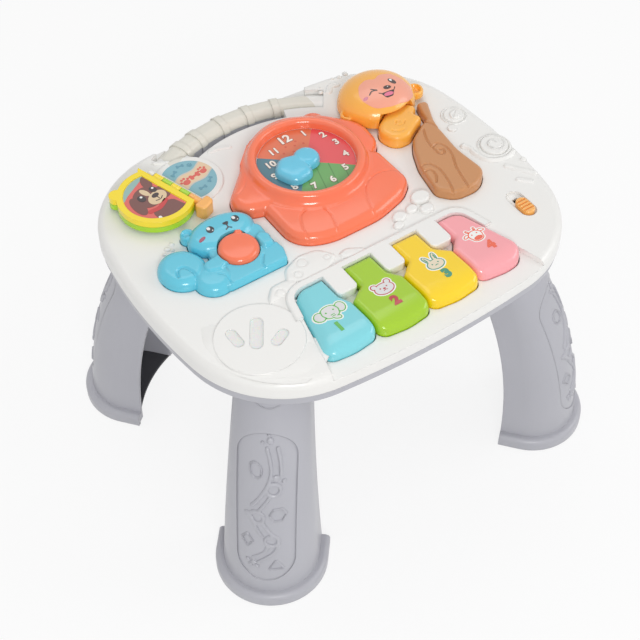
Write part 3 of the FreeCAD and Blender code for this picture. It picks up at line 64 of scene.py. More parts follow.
def rounded(corners):
    """Points round a closed outline of (x, y, radius) corners."""
    points = []
    for i, (x, y, radius) in enumerate(corners):
        here = np.array((x, y), float)
        back = np.array(corners[i - 1][:2], float) - here
        ahead = np.array(corners[(i + 1) % len(corners)][:2], float) - here
        back /= np.linalg.norm(back)
        ahead /= np.linalg.norm(ahead)
        half = math.acos(max(-1.0, min(1.0, float(back @ ahead)))) / 2
        reach = radius / math.tan(half)
        centre = here + (back + ahead) / np.linalg.norm(back + ahead) * radius / math.sin(half)
        start, end = here + back * reach - centre, here + ahead * reach - centre
        first = math.atan2(start[1], start[0])
        turn = (math.atan2(end[1], end[0]) - first + math.pi) % (2 * math.pi) - math.pi
        steps = max(2, int(abs(math.degrees(turn)) / 8) + 1)
        for k in range(steps + 1):
            angle = first + turn * k / steps
            points.append(centre + radius * np.array((math.cos(angle), math.sin(angle))))
    return np.array(points)


def flowing(points, steps=8):
    """Points on a smooth line through the given ones."""
    p = np.array([points[0], *points, points[-1]], float)
    out = []
    for a, b, c, d in zip(p, p[1:], p[2:], p[3:]):
        for k in range(steps):
            t = k / steps
            out.append(0.5 * (2 * b + (c - a) * t + (2 * a - 5 * b + 4 * c - d) * t * t
                              + (3 * b - a - 3 * c + d) * t ** 3))
    out.append(p[-1])
    return np.array(out)


def edge_distance(x, y, points, closed):
    """Distance to a run of straight edges, and whether a point is inside them."""
    best = np.full(np.shape(x), 1e12)
    inside = np.zeros(np.shape(x), bool)
    ends = np.roll(points, -1, 0) if closed else points[1:]
    for (ax, ay), (bx, by) in zip(points, ends):
        ex, ey = bx - ax, by - ay
        wx, wy = x - ax, y - ay
        t = np.clip((wx * ex + wy * ey) / max(ex * ex + ey * ey, 1e-12), 0, 1)
        best = np.minimum(best, (wx - ex * t) ** 2 + (wy - ey * t) ** 2)
        if closed and by != ay:
            inside ^= ((ay > y) != (by > y)) & (x < ex * (y - ay) / ey + ax)
    return np.sqrt(best), inside


def area(corners):
    points = rounded(corners)

    def distance(x, y):
        far, inside = edge_distance(x, y, points, True)
        return np.where(inside, -far, far)
    return distance


def stroke(points, width, smooth=True):
    line = flowing(points) if smooth else np.array(points, float)
    return lambda x, y: edge_distance(x, y, line, False)[0] - width / 2


def ring_of(shape, width):
    return lambda x, y: np.abs(shape(x, y)) - width / 2


def both(*shapes):
    return lambda x, y: np.minimum.reduce([s(x, y) for s in shapes])


def within(*shapes):
    return lambda x, y: np.maximum.reduce([s(x, y) for s in shapes])


def without(shape, *holes):
    return lambda x, y: np.maximum.reduce([shape(x, y)] + [-h(x, y) for h in holes])


def grow(shape, by):
    return lambda x, y: shape(x, y) - by


def smooth_max(a, b, soft):
    mix = np.clip(0.5 + 0.5 * (a - b) / soft, 0, 1)
    return b * (1 - mix) + a * mix + soft * mix * (1 - mix)


def plate(shape, rise, edge, crown=0.0, crown_reach=12.0):
    """Height over a flat shape with a rounded edge and a slight crown."""
    def height(x, y):
        depth = -shape(x, y)
        near = np.clip(depth, 0, edge)
        top = rise - edge + np.sqrt(np.maximum(edge ** 2 - (edge - near) ** 2, 0))
        top = top + crown * (1 - np.exp(-np.maximum(depth, 0) / crown_reach))
        return np.where(depth > -0.7, top, -30.0)
    return height


def dent(shape, depth, edge):
    """How far a groove sinks, soft over its edge."""
    return lambda x, y: depth * np.clip(-shape(x, y) / edge, 0, 1) ** 0.7


# Materials, with their edge roundings in metres
GLOSS_SPREAD = 0.05
SOFT_EDGE, CRISP_EDGE = 0.0012, 0.0006


def linear(rgb):
    return tuple((c / 255 / 12.92) if c / 255 <= 0.04045 else ((c / 255 + 0.055) / 1.055) ** 2.4 for c in rgb)


def add_node(tree, kind, **settings):
    """A new shader node with plain values in its inputs."""
    node = tree.nodes.new("ShaderNode" + kind)
    for socket, value in settings.items():
        node.inputs[socket].default_value = value
    return node


def wire(tree, *links):
    for source, output, target, socket in links:
        tree.links.new(source.outputs[output], target.inputs[socket])


def plastic(name, rgb, rough=0.28, coat=0.25, grain=0.05, grain_scale=900.0, vary=0.03, subsurface=0.0,
            metallic=0.0, bevel=0.0):
    """Moulded plastic: slight flow-mark variation, uneven gloss and a fine moulded texture."""
    material = bpy.data.materials.new(name)
    material.use_nodes = True
    tree = material.node_tree
    shader = tree.nodes["Principled BSDF"]
    for socket, value in (("Coat Weight", coat), ("Coat Roughness", 0.07), ("Metallic", metallic),
                          ("Subsurface Weight", subsurface), ("Subsurface Scale", 0.003)):
        shader.inputs[socket].default_value = value
    place = add_node(tree, "TexCoord")
    flow = add_node(tree, "TexNoise", Scale=22.0, Detail=4.0)
    tint = add_node(tree, "Mix")
    tint.data_type = "RGBA"
    base = linear(rgb)
    tint.inputs["A"].default_value = (*[c * (1 - vary) for c in base], 1)
    tint.inputs["B"].default_value = (*[min(1.0, c * (1 + vary)) for c in base], 1)
    gloss = add_node(tree, "TexNoise", Scale=60.0, Detail=6.0)
    span = add_node(tree, "MapRange")
    span.inputs["To Min"].default_value = rough - GLOSS_SPREAD
    span.inputs["To Max"].default_value = rough + GLOSS_SPREAD
    fine = add_node(tree, "TexNoise", Scale=grain_scale, Detail=2.0)
    bump = add_node(tree, "Bump", Strength=grain, Distance=0.0004)
    wire(tree, (place, "Object", flow, "Vector"), (flow, "Fac", tint, "Factor"),
         (tint, "Result", shader, "Base Color"), (place, "Object", gloss, "Vector"),
         (gloss, "Fac", span, "Value"), (span, "Result", shader, "Roughness"),
         (place, "Object", fine, "Vector"), (fine, "Fac", bump, "Height"), (bump, "Normal", shader, "Normal"))
    if bevel:
        soft = add_node(tree, "Bevel", Radius=bevel)
        soft.samples = 4
        wire(tree, (soft, "Normal", bump, "Normal"))
    return material


def white(name):
    return plastic(name, (240, 239, 236), 0.32, 0.15, 0.04, vary=0.008, bevel=SOFT_EDGE)


WHITE = white("white_plastic")
GREY = plastic("grey_plastic", (182, 182, 189), 0.36, 0.12, 0.18, 1400.0, bevel=SOFT_EDGE)
CORAL = plastic("coral_plastic", (255, 122, 82), 0.16, 0.4, 0.02)
BLUE = plastic("squirrel_blue_plastic", (96, 200, 224), 0.2, 0.4, 0.02)
POINTER = plastic("pointer_blue_plastic", (100, 200, 230), 0.16, 0.5, 0.02)
ORANGE = plastic("orange_plastic", (255, 182, 72), 0.22, 0.35, 0.02)
BROWN = plastic("brown_plastic", (202, 142, 92), 0.30, 0.2, 0.05)
CYAN = plastic("cyan_plastic", (130, 216, 226), 0.18, 0.4, 0.02)
GREEN = plastic("green_plastic", (166, 208, 30), 0.18, 0.35, 0.02)
YELLOW = plastic("yellow_plastic", (254, 214, 16), 0.18, 0.35, 0.02)
PINK = plastic("pink_plastic", (252, 168, 174), 0.18, 0.35, 0.02)
PAGE = plastic("page_yellow_plastic", (255, 226, 36), 0.22, 0.4, 0.03, bevel=CRISP_EDGE)
LIME = plastic("page_lime_plastic", (172, 220, 36), 0.22, 0.4, 0.03, bevel=CRISP_EDGE)
AMBER = plastic("amber_plastic", (251, 182, 96), 0.22, 0.4, 0.03, bevel=CRISP_EDGE)
RUBBER = plastic("sole_rubber", (62, 62, 66), 0.75, 0.0, 0.5, 1500.0)
STEEL = plastic("zinc_steel", (190, 191, 193), 0.32, 0.0, 0.2, 2500.0, metallic=1.0)
BRASS = plastic("plated_brass", (215, 205, 170), 0.3, 0.0, 0.1, metallic=1.0)
BLACK = plastic("black_plastic", (40, 40, 43), 0.5, 0.0, 0.3)
BOARD = plastic("solder_mask", (30, 96, 56), 0.35, 0.2, 0.3, 600.0, vary=0.12)
SLEEVE = plastic("battery_sleeve", (52, 58, 66), 0.25, 0.3, 0.03)
SILICONE = plastic("silicone", (160, 160, 162), 0.6, 0.0, 0.2)
FROST = plastic("frosted_window", (232, 231, 228), 0.35, 0.2, 0.35, 700.0, subsurface=0.3)


# The carrying grip, with its places in metres as the shader has them
# Grip colour: partly the grip's own warmer tone, partly painted shade darkening it
GRIP_TONE_AND_SHADE_RGB = (226, 223, 212)
GRIP_CENTRE = (-0.008, 0.006)
GRIP_RADIUS, GRIP_HALF_WIDTH = 0.15265, 0.0122
GRIP_MIDDLE_X, GRIP_HALF_LENGTH = -0.0075, 0.0765
GRIP_FRONT_Y = 0.1


def math_node(tree, operation, *values):
    """A maths node fed by sockets and by plain numbers."""
    node = add_node(tree, "Math")
    node.operation = operation
    for k, value in enumerate(values):
        if isinstance(value, float):
            node.inputs[k].default_value = value
        else:
            tree.links.new(value, node.inputs[k])
    return node


def shell_white():
    """The tray's white with a greyer tone on the carrying grip, told apart by place on the part: the tone is
    partly the grip's own warmer finish and partly painted shade.
    """
    material = white("shell_white_plastic")
    tree = material.node_tree
    shader = tree.nodes["Principled BSDF"]
    plain = shader.inputs["Base Color"].links[0].from_socket
    place, split, flat = [add_node(tree, kind) for kind in ("TexCoord", "SeparateXYZ", "CombineXYZ")]
    far = add_node(tree, "VectorMath")
    far.operation = "DISTANCE"
    far.inputs[1].default_value = (*GRIP_CENTRE, 0)
    wire(tree, (place, "Object", split, "Vector"), (split, "X", flat, "X"), (split, "Y", flat, "Y"),
         (flat, "Vector", far, 0))
    mask = math_node(tree, "COMPARE", far.outputs["Value"], GRIP_RADIUS, GRIP_HALF_WIDTH)
    along = math_node(tree, "COMPARE", split.outputs["X"], GRIP_MIDDLE_X, GRIP_HALF_LENGTH)
    behind = math_node(tree, "GREATER_THAN", split.outputs["Y"], GRIP_FRONT_Y)
    for other in (along, behind):
        mask = math_node(tree, "MULTIPLY", mask.outputs["Value"], other.outputs["Value"])
    blend = add_node(tree, "Mix")
    blend.data_type = "RGBA"
    # The grip colour is partly painted shade over the grip's own warmer tone
    blend.inputs["B"].default_value = (*linear(GRIP_TONE_AND_SHADE_RGB), 1)
    tree.links.new(plain, blend.inputs["A"])
    wire(tree, (mask, "Value", blend, "Factor"), (blend, "Result", shader, "Base Color"))
    return material


SHELL = shell_white()


def ink(name, rgb, rough=0.25):
    """Printed ink under clear lacquer, faintly mottled."""
    return plastic(name + "_ink", rgb, rough, 0.4, 0.03, 1600.0, vary=0.05)


# Meshes
def new_object(name, data):
    added = bpy.data.objects.new(name, data)
    bpy.context.scene.collection.objects.link(added)
    return added


def add_mesh(name, points, faces, material, body, slot=None, replaced=(), sharp_deg=50):
    mesh = bpy.data.meshes.new(name)
    mesh.from_pydata((np.asarray(points) * MM).tolist(), [], [list(f) for f in faces])
    mesh.validate()
    mesh.update()
    mesh.shade_smooth()
    mesh.set_sharp_from_angle(angle=math.radians(sharp_deg))
    mesh.materials.append(material)
    piece = new_object(name, mesh)
    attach(piece, body)
    if replaced:
        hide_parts(*replaced)
    return piece


def patch(shape, bounds, step):
    """Grid points and squares inside a flat shape, with the border moved onto its outline; x bounds come first."""
    xs = np.arange(bounds[0], bounds[1] + step, step)
    ys = np.arange(bounds[2], bounds[3] + step, step)
    x, y = np.meshgrid(xs, ys, indexing="ij")
    far = shape(x, y)
    keep = (far[:-1, :-1] + far[1:, :-1] + far[1:, 1:] + far[:-1, 1:]) / 4 < 0
    index = np.arange(x.size).reshape(x.shape)
    quads = np.stack([index[:-1, :-1], index[1:, :-1], index[1:, 1:], index[:-1, 1:]], -1)[keep]
    used, flat = np.unique(quads, return_inverse=True)
    quads = flat.reshape(-1, 4)
    px, py = x.ravel()[used].copy(), y.ravel()[used].copy()
    sides = np.concatenate([quads[:, [k, (k + 1) % 4]] for k in range(4)])
    key = np.sort(sides, 1)
    _, first, count = np.unique(key, axis=0, return_index=True, return_counts=True)
    border = sides[first[count == 1]]
    rim = np.unique(border)
    eps = 0.05
    for _ in range(4):
        qx, qy = px[rim], py[rim]
        d = shape(qx, qy)
        gx = (shape(qx + eps, qy) - shape(qx - eps, qy)) / (2 * eps)
        gy = (shape(qx, qy + eps) - shape(qx, qy - eps)) / (2 * eps)
        size = np.maximum(gx ** 2 + gy ** 2, 0.25)
        px[rim] -= np.clip(d * gx / size, -step, step)
        py[rim] -= np.clip(d * gy / size, -step, step)
    return px, py, quads, border


def closed_body(name, upper, lower, quads, border, material, body, **more):
    """Two sheets of points with the same squares, joined by a wall round their border."""
    count = len(upper)
    walls = [(b, a, a + count, b + count) for a, b in border]
    faces = [*quads.tolist(), *(quads[:, ::-1] + count).tolist(), *walls]
    return add_mesh(name, np.concatenate([upper, lower]), faces, material, body, **more)


def relief(name, shape, height, bounds, step, low, material, body, under=None, **more):
    """A closed body over a flat shape: its top follows height, its underside is flat or follows under."""
    px, py, quads, border = patch(shape, bounds, step)
    top = np.stack([px, py, height(px, py)], 1)
    base = np.full(len(px), float(low)) if under is None else under(px, py, top[:, 2])
    return closed_body(name, top, np.stack([px, py, base], 1), quads, border, material, body, **more)


def lifted(height, by):
    return lambda x, y: height(x, y) + by


def print_on(name, shape, surface, lift, bounds, material, body, slot, step=0.8):
    """A thin printed layer that follows a surface."""
    def under(x, y, z):
        return z - PRINT_THICK
    return relief(name, shape, lifted(surface, lift), bounds, step, 0, material, body, under=under, slot=slot)


def level(z):
    return lambda x, y: np.full(np.shape(x), float(z))


def box_round(at, reach_x, reach_y):
    return at[0] - reach_x, at[0] + reach_x, at[1] - reach_y, at[1] + reach_y


# Bear round the clock
CLOCK = (11.0, 57.0)
RING_OUT, RING_IN = 50.5, 43.5
bear_body = area([(-49, 36, 10), (-49, -14, 27), (-20, -27, 55), (30, -27, 70), (61, -18, 30), (76, -6, 16),
                  (75, 38, 12), (40, 70, 30), (-30, 70, 30)])
bear_head = area([(-44, 30, 6), (-68, 38, 17), (-68, 58, 16), (-10, 115, 38), (20, 127, 45), (60, 105, 26),
                  (84, 76, 30), (82, 48, 18), (66, 36, 10), (20, 20, 30), (-20, 20, 30)])
EAR = (49.5, 103.5)
bear_ear = spot(EAR, 11.5)
bear_shape = without(both(bear_body, bear_head, bear_ear), spot(CLOCK, RING_IN))
bear_lines = (
    [(-38, -24), (-35, -6), (-29, 6), (-18, 10), (-9, 6), (-7, -5), (-10, -18), (-13, -26)],
    [(25, -24), (29, -10), (33, 0), (41, 8), (55, 12), (68, 9), (75, 3)],
    [(-40, 74), (-47, 64), (-57, 57), (-64, 58)],
)


def bear_height(x, y):
    z = plate(bear_body, 9.6, 7.5, 1.4, 16)(x, y)
    for line in bear_lines[:2]:
        z = z - dent(stroke(line, 2.0), 0.8, 1.0)(x, y)
    z = smooth_max(z, plate(bear_head, 11.6, 8.0, 1.4, 12)(x, y), 1.0)
    z = z - dent(stroke(bear_lines[2], 1.8), 0.45, 0.9)(x, y)
    z = smooth_max(z, plate(bear_ear, 9.0, 4.5)(x, y) - dent(spot(EAR, 6.5), 1.6, 2.5)(x, y), 1.0)
    far = np.hypot(x - CLOCK[0], y - CLOCK[1])
    middle = (RING_OUT + RING_IN) / 2 + 0.6
    half = (RING_OUT - RING_IN) / 2 + 0.6
    across = np.clip(np.abs(far - middle) / half, 0, 1)
    ring = 17.2 + 3.7 * np.sqrt(1 - across ** 2)
    skirt = np.clip((far - middle - half) / 6, 0, 1)
    flare = 17.2 - 6.2 * (1 - (1 - skirt) ** 2.4)
    ring = np.where(far <= middle + half, ring, np.where(far < middle + half + 6, flare, -30))
    return TRAY_Z + smooth_max(z, ring, 1.2)


relief("bear_ring", bear_shape, bear_height, (-80, 90, -32, 130), 0.8, SUNK_Z, CORAL, "table",
       slot="coral_plastic", replaced=("bear_cover",))

# Clock face
DIAL_Z = 259.0
dial_round = spot(CLOCK, RING_IN - 0.4)
SECTORS = (("orange", (226, 118, 80), 95), ("red", (232, 84, 88), 5), ("green", (106, 168, 92), -85),
           ("teal", (78, 128, 144), -175))


def wedge(middle_deg, half_deg):
    """Distance to a wedge from the clock's centre."""
    left = math.radians(middle_deg + half_deg)
    right = math.radians(middle_deg - half_deg)

    def distance(x, y):
        u, v = x - CLOCK[0], y - CLOCK[1]
        from_left = v * math.cos(left) - u * math.sin(left)
        return np.maximum(from_left, u * math.sin(right) - v * math.cos(right))
    return distance


def clock_print(name, shape, lift, material, step):
    print_on("clock_" + name, shape, level(DIAL_Z), lift, box_round(CLOCK, 45, 45), material, "table",
             "dial_print", step)


for label, rgb, middle in SECTORS:
    clock_print(label, within(dial_round, wedge(middle, 45)), 0.1, ink("clock_" + label, rgb), 1.5)
stripes = both(*[stroke([(CLOCK[0] + a, CLOCK[1] - 50), (CLOCK[0] + a + 14, CLOCK[1])], 1.0, False)
                 for a in (-20, -8, 4, 16, 28)])
clock_print("stripes", within(dial_round, grow(wedge(-85, 45), 0.5), stripes), 0.16,
            ink("clock_stripe", (84, 142, 74)), 0.7)
dots = [spot((CLOCK[0] + r * math.cos(math.radians(a)), CLOCK[1] + r * math.sin(math.radians(a))), 1.1)
        for r, a in ((16, 70), (24, 62), (23, 82), (17, 96), (26, 100), (22, 118), (30, 124), (18, 128),
                     (28, 76))]
clock_print("dots", both(*dots), 0.16, ink("clock_dot", (214, 92, 62)), 0.5)


def numeral(text, at, size, z, material, body, slot, name, bold=0.035, thick=PRINT_THICK,
            surface=None):
    """A plain number as a thin raised print, flat or laid on a surface."""
    curve = bpy.data.curves.new(name, "FONT")
    curve.body = text
    curve.size = size
    curve.align_x = "CENTER"
    curve.align_y = "CENTER"
    curve.offset = bold * size
    curve.extrude = thick / 2
    curve.resolution_u = 4
    holder = new_object(name + "_holder", curve)
    graph = bpy.context.evaluated_depsgraph_get()
    mesh = bpy.data.meshes.new_from_object(holder.evaluated_get(graph))
    bpy.data.objects.remove(holder)
    bpy.data.curves.remove(curve)
    for vertex in mesh.vertices:
        x, y, raised = vertex.co.x + at[0], vertex.co.y + at[1], vertex.co.z
        base = z if surface is None else z + float(surface(np.array([x]), np.array([y]))[0])
        vertex.co = (x * MM, y * MM, (base + raised) * MM)
    mesh.materials.clear()
    mesh.materials.append(material)
    mesh.name = name
    piece = new_object(name, mesh)
    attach(piece, body)
    return piece


DIGIT_INK = ink("digit_white", (247, 243, 232))
DIGIT_EDGE = ink("digit_edge", (130, 62, 50))
HOURS = ((12, -0.5, 34.0), (1, 18.5, 31.5), (2, 31.5, 20.5), (3, 36.0, 6.5), (4, 34.0, -11.0),
         (5, 24.0, -25.0), (6, 6.5, -31.5), (7, -11.0, -29.5), (8, -26.0, -21.0), (9, -33.0, -1.0),
         (10, -28.0, 13.5), (11, -16.5, 26.0))
HOUR_SIZE, TWELVE_SIZE = 10.0, 13.0
for hour, dx, dy in HOURS:
    at = (CLOCK[0] + dx, CLOCK[1] + dy)
    size = TWELVE_SIZE if hour == 12 else HOUR_SIZE
    numeral(str(hour), at, size, DIAL_Z + 0.24, DIGIT_EDGE, "table", "dial_print", "hour_%d_edge" % hour,
            0.065, 0.1)
    numeral(str(hour), at, size, DIAL_Z + 0.34, DIGIT_INK, "table", "dial_print", "hour_%d" % hour)

# Pointer
hub = spot(CLOCK, 12.0)
egg_at = (CLOCK[0] - 17.8, CLOCK[1] - 5.3)
egg = area([(egg_at[0] - 17, egg_at[1] + 4, 11), (egg_at[0] - 8, egg_at[1] - 18, 11),
            (egg_at[0] + 14, egg_at[1] - 15, 10), (egg_at[0] + 18, egg_at[1] + 12, 10),
            (egg_at[0] - 4, egg_at[1] + 18, 12)])


def pointer_height(x, y):
    z = smooth_max(plate(hub, 8.4, 5.5, 0.6, 4)(x, y), plate(egg, 7.8, 6.4, 1.4, 8)(x, y), 0.5)
    return DIAL_Z + 0.3 + np.minimum(z, 9.0)


relief("pointer", both(hub, egg), pointer_height, (-30, 30, 30, 75), 0.6, DIAL_Z + 0.5, POINTER,
       "clock_pointer", slot="blue_plastic", replaced=("clock_knob",))

# Squirrel and its nut
NUT = (-91.5, 4.5)
NUT_R = 17.5
tail = both(spot((-140, 12), 20), spot((-141, 15), 19.5))
lobe = spot((-124, -9), 17)
log = area([(-122, -26, 5), (-63, -26, 4), (-59, -14, 5), (-60, -2, 5), (-118, -2, 5)])
chest = area([(-118, -4, 6), (-62, -6, 6), (-60, 22, 9), (-74, 32, 9), (-112, 30, 9)])
squirrel_head = oval((-92.5, 30.5), (31, 20))
squirrel_ear = spot((-117.5, 43), 6.5)
paw_left = area([(-127.5, -5, 4), (-126, 4.5, 4), (-107.5, 7.5, 4), (-105, -3, 4), (-116, -9, 4)])
paw_right = area([(-73, -6, 3), (-74, 7, 4), (-67.5, 11, 4), (-62, 5, 4), (-63.5, -6, 3)])
squirrel_shape = without(both(tail, lobe, log, chest, squirrel_head, squirrel_ear), spot(NUT, NUT_R + 0.6))


def squirrel_height(x, y):
    z = plate(log, 7.5, 2.2)(x, y)
    z = z - dent(stroke([(-84, -27), (-84, -20), (-78, -12)], 2.2, False), 1.2, 1.0)(x, y)
    z = np.maximum(z, plate(within(chest, grow(log, 30)), 7.8, 3.5)(x, y))
    z = smooth_max(z, plate(tail, 10.0, 8.5, 0.0)(x, y), 0.6)
    curl = stroke([(-149, 4), (-146.5, 10), (-140.5, 10.5), (-137, 4), (-136.6, -4), (-139.5, -12)], 3.4)
    z = z - dent(curl, 1.8, 1.5)(x, y)
    z = smooth_max(z, plate(lobe, 9.0, 8.0, 0.6)(x, y), 0.4)
    z = z - dent(stroke([(-120, -10.5), (-116, -16), (-116, -25)], 2.2), 0.9, 1.1)(x, y)
    z = np.maximum(z, plate(within(paw_left, squirrel_shape), 11.4, 2.4)(x, y))
    z = np.maximum(z, plate(within(paw_right, squirrel_shape), 11.2, 2.4)(x, y))
    z = smooth_max(z, plate(squirrel_ear, 9.0, 2.6)(x, y), 0.6)
    z = z - dent(spot((-118.5, 43.5), 4.2), 2.6, 2.0)(x, y)
    z = smooth_max(z, plate(squirrel_head, 11.0, 8.5, 2.0, 9)(x, y), 0.5)
    return TRAY_Z + z


relief("squirrel", squirrel_shape, squirrel_height, (-164, -56, -30, 58), 0.7, SUNK_Z, BLUE, "table",
       slot="squirrel_blue", replaced=("squirrel_cover",))

FACE_BLACK = ink("face_black", (42, 44, 52))
FACE_WHITE = ink("face_white", (246, 246, 244))
CHEEK_RED = ink("cheek_red", (160, 66, 92))
squirrel_box = (-125, -60, 12, 50)
eyes = both(oval((-101.5, 32.6), (3.4, 4.1), -20), oval((-77.3, 32.4), (3.4, 4.1), -20))
nose = both(area([(-91.2, 33.6, 1.2), (-83.2, 33.4, 1.2), (-86.6, 28.8, 1.2)]),
            stroke([(-87.2, 30.5), (-87.6, 27.0), (-90.2, 25.4)], 1.1),
            stroke([(-87.4, 27.2), (-85.2, 25.0)], 1.1, False))
glints = both(oval((-102.3, 34.2), (1.5, 1.9)), spot((-100.2, 30.6), 0.6), oval((-78.1, 34.0), (1.5, 1.9)),
              spot((-76.0, 30.4), 0.6))


def squirrel_print(name, shape, lift, material, step=0.4):
    print_on("squirrel_" + name, shape, squirrel_height, lift, squirrel_box, material, "table",
             "squirrel_blue", step)


squirrel_print("features", within(both(eyes, nose), grow(squirrel_shape, -0.8)), 0.16, FACE_BLACK)
squirrel_print("glints", glints, 0.26, FACE_WHITE, 0.35)
squirrel_print("cheek", oval((-112.6, 26.8), (3.6, 1.7), 18), 0.16, CHEEK_RED)


def nut_height(x, y):
    z = plate(spot(NUT, NUT_R), 12.0, 4.5, 0.8, 8)(x, y)
    brim = stroke([(NUT[0] - 13, NUT[1] + 7), (NUT[0] - 5, NUT[1] + 12.5), (NUT[0] + 6, NUT[1] + 12),
                   (NUT[0] + 13, NUT[1] + 5)], 1.3)
    z = z - dent(brim, 0.35, 0.7)(x, y)
    return TRAY_Z + smooth_max(z, plate(spot((NUT[0] + 8.5, NUT[1] + 14.5), 3.0), 12.9, 2.0)(x, y), 0.5)


relief("nut", spot(NUT, NUT_R), nut_height, (-111, -72, -15, 24), 0.6, TRAY_Z - 3.5, CORAL, "nut_button",
       slot="coral_plastic", replaced=("nut_button",))

# Monkey's hand and the trunk
palm = area([(86, 58, 14), (92, 36, 12), (108, 36, 10), (122, 44.5, 10), (131.5, 49, 4.5), (128, 57.5, 2),
             (135.5, 64, 4.5), (130, 72, 5), (106, 72, 12)])


def hand_height(x, y):
    z = plate(palm, 12.4, 5.0, 0.6, 8)(x, y)
    swirl = [(108 + r * math.cos(a), 54 + r * math.sin(a)) for r, a in
             [(0.8 + 0.8 * k, 1.0 * k) for k in range(7)]]
    z = z - dent(stroke(swirl, 2.0), 1.0, 1.0)(x, y)
    return TRAY_Z + z - dent(stroke([(97, 48), (101, 44), (107, 43.5)], 2.0), 0.9, 1.0)(x, y)


relief("hand", palm, hand_height, (80, 140, 30, 74), 0.6, SUNK_Z, ORANGE, "table",
       slot="orange_plastic", replaced=("monkey_hand",))
bark = area([(85.5, -31, 10), (97, -45, 18), (122, -46, 22), (136, -33, 12), (133, 0, 60), (138, 40, 60),
             (151, 68, 4), (140, 69.5, 2.5), (136.5, 58, 8), (134, 47.5, 5), (124, 42.5, 10), (109, 33.5, 12),
             (101, 22, 30), (92, 2, 50)])
bark_lines = (
    [(123, 37), (117, 24), (115, 12), (115, 3), (119, 1.5), (121.5, 6), (118, 7.5)],
    [(116.5, 14), (122, 14.5), (125.5, 7), (123.5, -4), (117, -18), (113, -32), (110, -46)],
    [(94, 0), (100, -3), (103, -13), (101, -26), (98, -36), (94, -46)],
    [(91, -7), (96, -9), (96, -17), (91, -24)],
    [(130, 45), (134, 38), (137, 28)],
)


def bark_height(x, y):
    z = plate(bark, 9.0, 3.6, 0.5, 10)(x, y)
    for line in bark_lines:
        z = z - dent(stroke(line, 2.6), 1.5, 1.2)(x, y)
    return TRAY_Z + z


relief("trunk", bark, bark_height, (80, 152, -48, 74), 0.45, SUNK_Z, BROWN, "table",
       slot="brown_plastic", replaced=("tree_trunk",))

# Monkey's head
HEAD = (113.0, 94.5)
HEAD_R = (36.5, 34.0)
HEAD_RISE, HEAD_BASE = 21.6, 6
PRESS_GAP, HEAD_SLIT = 3.3, 0.8
HEAD_LOW = TRAY_Z + PRESS_GAP
BARK_TOP, PALM_TOP = 9.5, 13.0
BARK_CLEAR_Z, PALM_CLEAR_Z = 259.8, 263.4
EAR_R = 8.4
NOWHERE = -300.0
head_oval = oval(HEAD, HEAD_R)
near_hand = grow(both(palm, bark), HEAD_SLIT)
ear_left, ear_right = (81.0, 91.5), (149.6, 86.0)
ears = both(spot(ear_left, EAR_R), spot(ear_right, EAR_R))


def head_dome(x, y):
    far = np.clip(np.hypot((x - HEAD[0]) / HEAD_R[0], (y - HEAD[1]) / HEAD_R[1]), 0, 1)
    return TRAY_Z + HEAD_BASE + HEAD_RISE * (1 - far ** 2.4) ** (1 / 2.15)


def ear_height(x, y):
    z = np.full(np.shape(x), NOWHERE)
    for at, rise in ((ear_left, 6.0), (ear_right, 6.4)):
        lump = plate(spot(at, EAR_R), rise, 1.8)(x, y) - dent(spot(at, EAR_R - 2.6), 3.6, 1.2)(x, y)
        z = np.maximum(z, HEAD_LOW + lump)
    return z


def head_height(x, y):
    z = np.maximum(np.where(head_oval(x, y) < 0, head_dome(x, y), NOWHERE), ear_height(x, y))
    return np.maximum(z, HEAD_LOW + 0.6)


def too_low(x, y):
    """Where the dome would come closer to the hand or trunk than the head's press allows."""
    clear = np.where(grow(palm, HEAD_SLIT)(x, y) < 0, PALM_CLEAR_Z, BARK_CLEAR_Z)
    return (head_dome(x, y) - clear) / 2.5


neck = oval(HEAD, (29.8, 27.3))


def head_under(x, y, z):
    low = np.where(grow(bark, HEAD_SLIT)(x, y) < 0.4, TRAY_Z + BARK_TOP + PRESS_GAP, HEAD_LOW)
    low = np.where(grow(palm, HEAD_SLIT)(x, y) < 0.4, TRAY_Z + PALM_TOP + PRESS_GAP, low)
    return np.minimum(np.where((neck(x, y) < 0) & (near_hand(x, y) > 3), TRAY_Z - 2.4, low), z - 0.2)


head_shape = both(without(head_oval, within(near_hand, too_low)), without(ears, near_hand))
relief("monkey", head_shape, head_height, (70, 160, 58, 130), 0.7, 0, ORANGE, "monkey_head",
       under=head_under, slot="orange_plastic", replaced=("monkey_head",))
FACE_PEACH = ink("face_peach", (246, 166, 140), 0.3)
DARK_BROWN = ink("face_brown", (72, 50, 44))
TONGUE = ink("tongue_pink", (232, 120, 150))
LILAC = ink("cheek_lilac", (214, 130, 150))
face_box = (86, 146, 62, 110)
face_patch = area([(97, 101, 9), (89, 88, 14), (95, 72, 14), (110, 67, 20), (128, 67, 18), (143, 75, 10),
                   (138, 90, 14), (132, 101, 9), (120, 103, 6), (114, 99, 4), (107, 104, 7)])
wink = both(stroke([(98.5, 85.5), (102.5, 87.6), (107, 86.2)], 1.2),
            stroke([(103.2, 90.2), (107, 86.4)], 1.1, False))
mouth = both(area([(108.0, 80.8, 0.8), (122.0, 80.0, 0.8), (117.0, 74.6, 2.6), (110.0, 74.8, 2.4)]),
             stroke([(106.6, 82.4), (108.6, 80.6)], 0.8, False),
             stroke([(121.4, 79.8), (124.0, 82.2)], 0.8, False))
monkey_nose = oval((117.2, 84.6), (3.8, 2.2), -8)
open_eye = oval((126.2, 89.6), (2.7, 4.3), 20)


def monkey_print(name, shape, lift, material, step=0.4):
    print_on("monkey_" + name, shape, head_height, lift, face_box, material, "monkey_head",
             "orange_plastic", step)


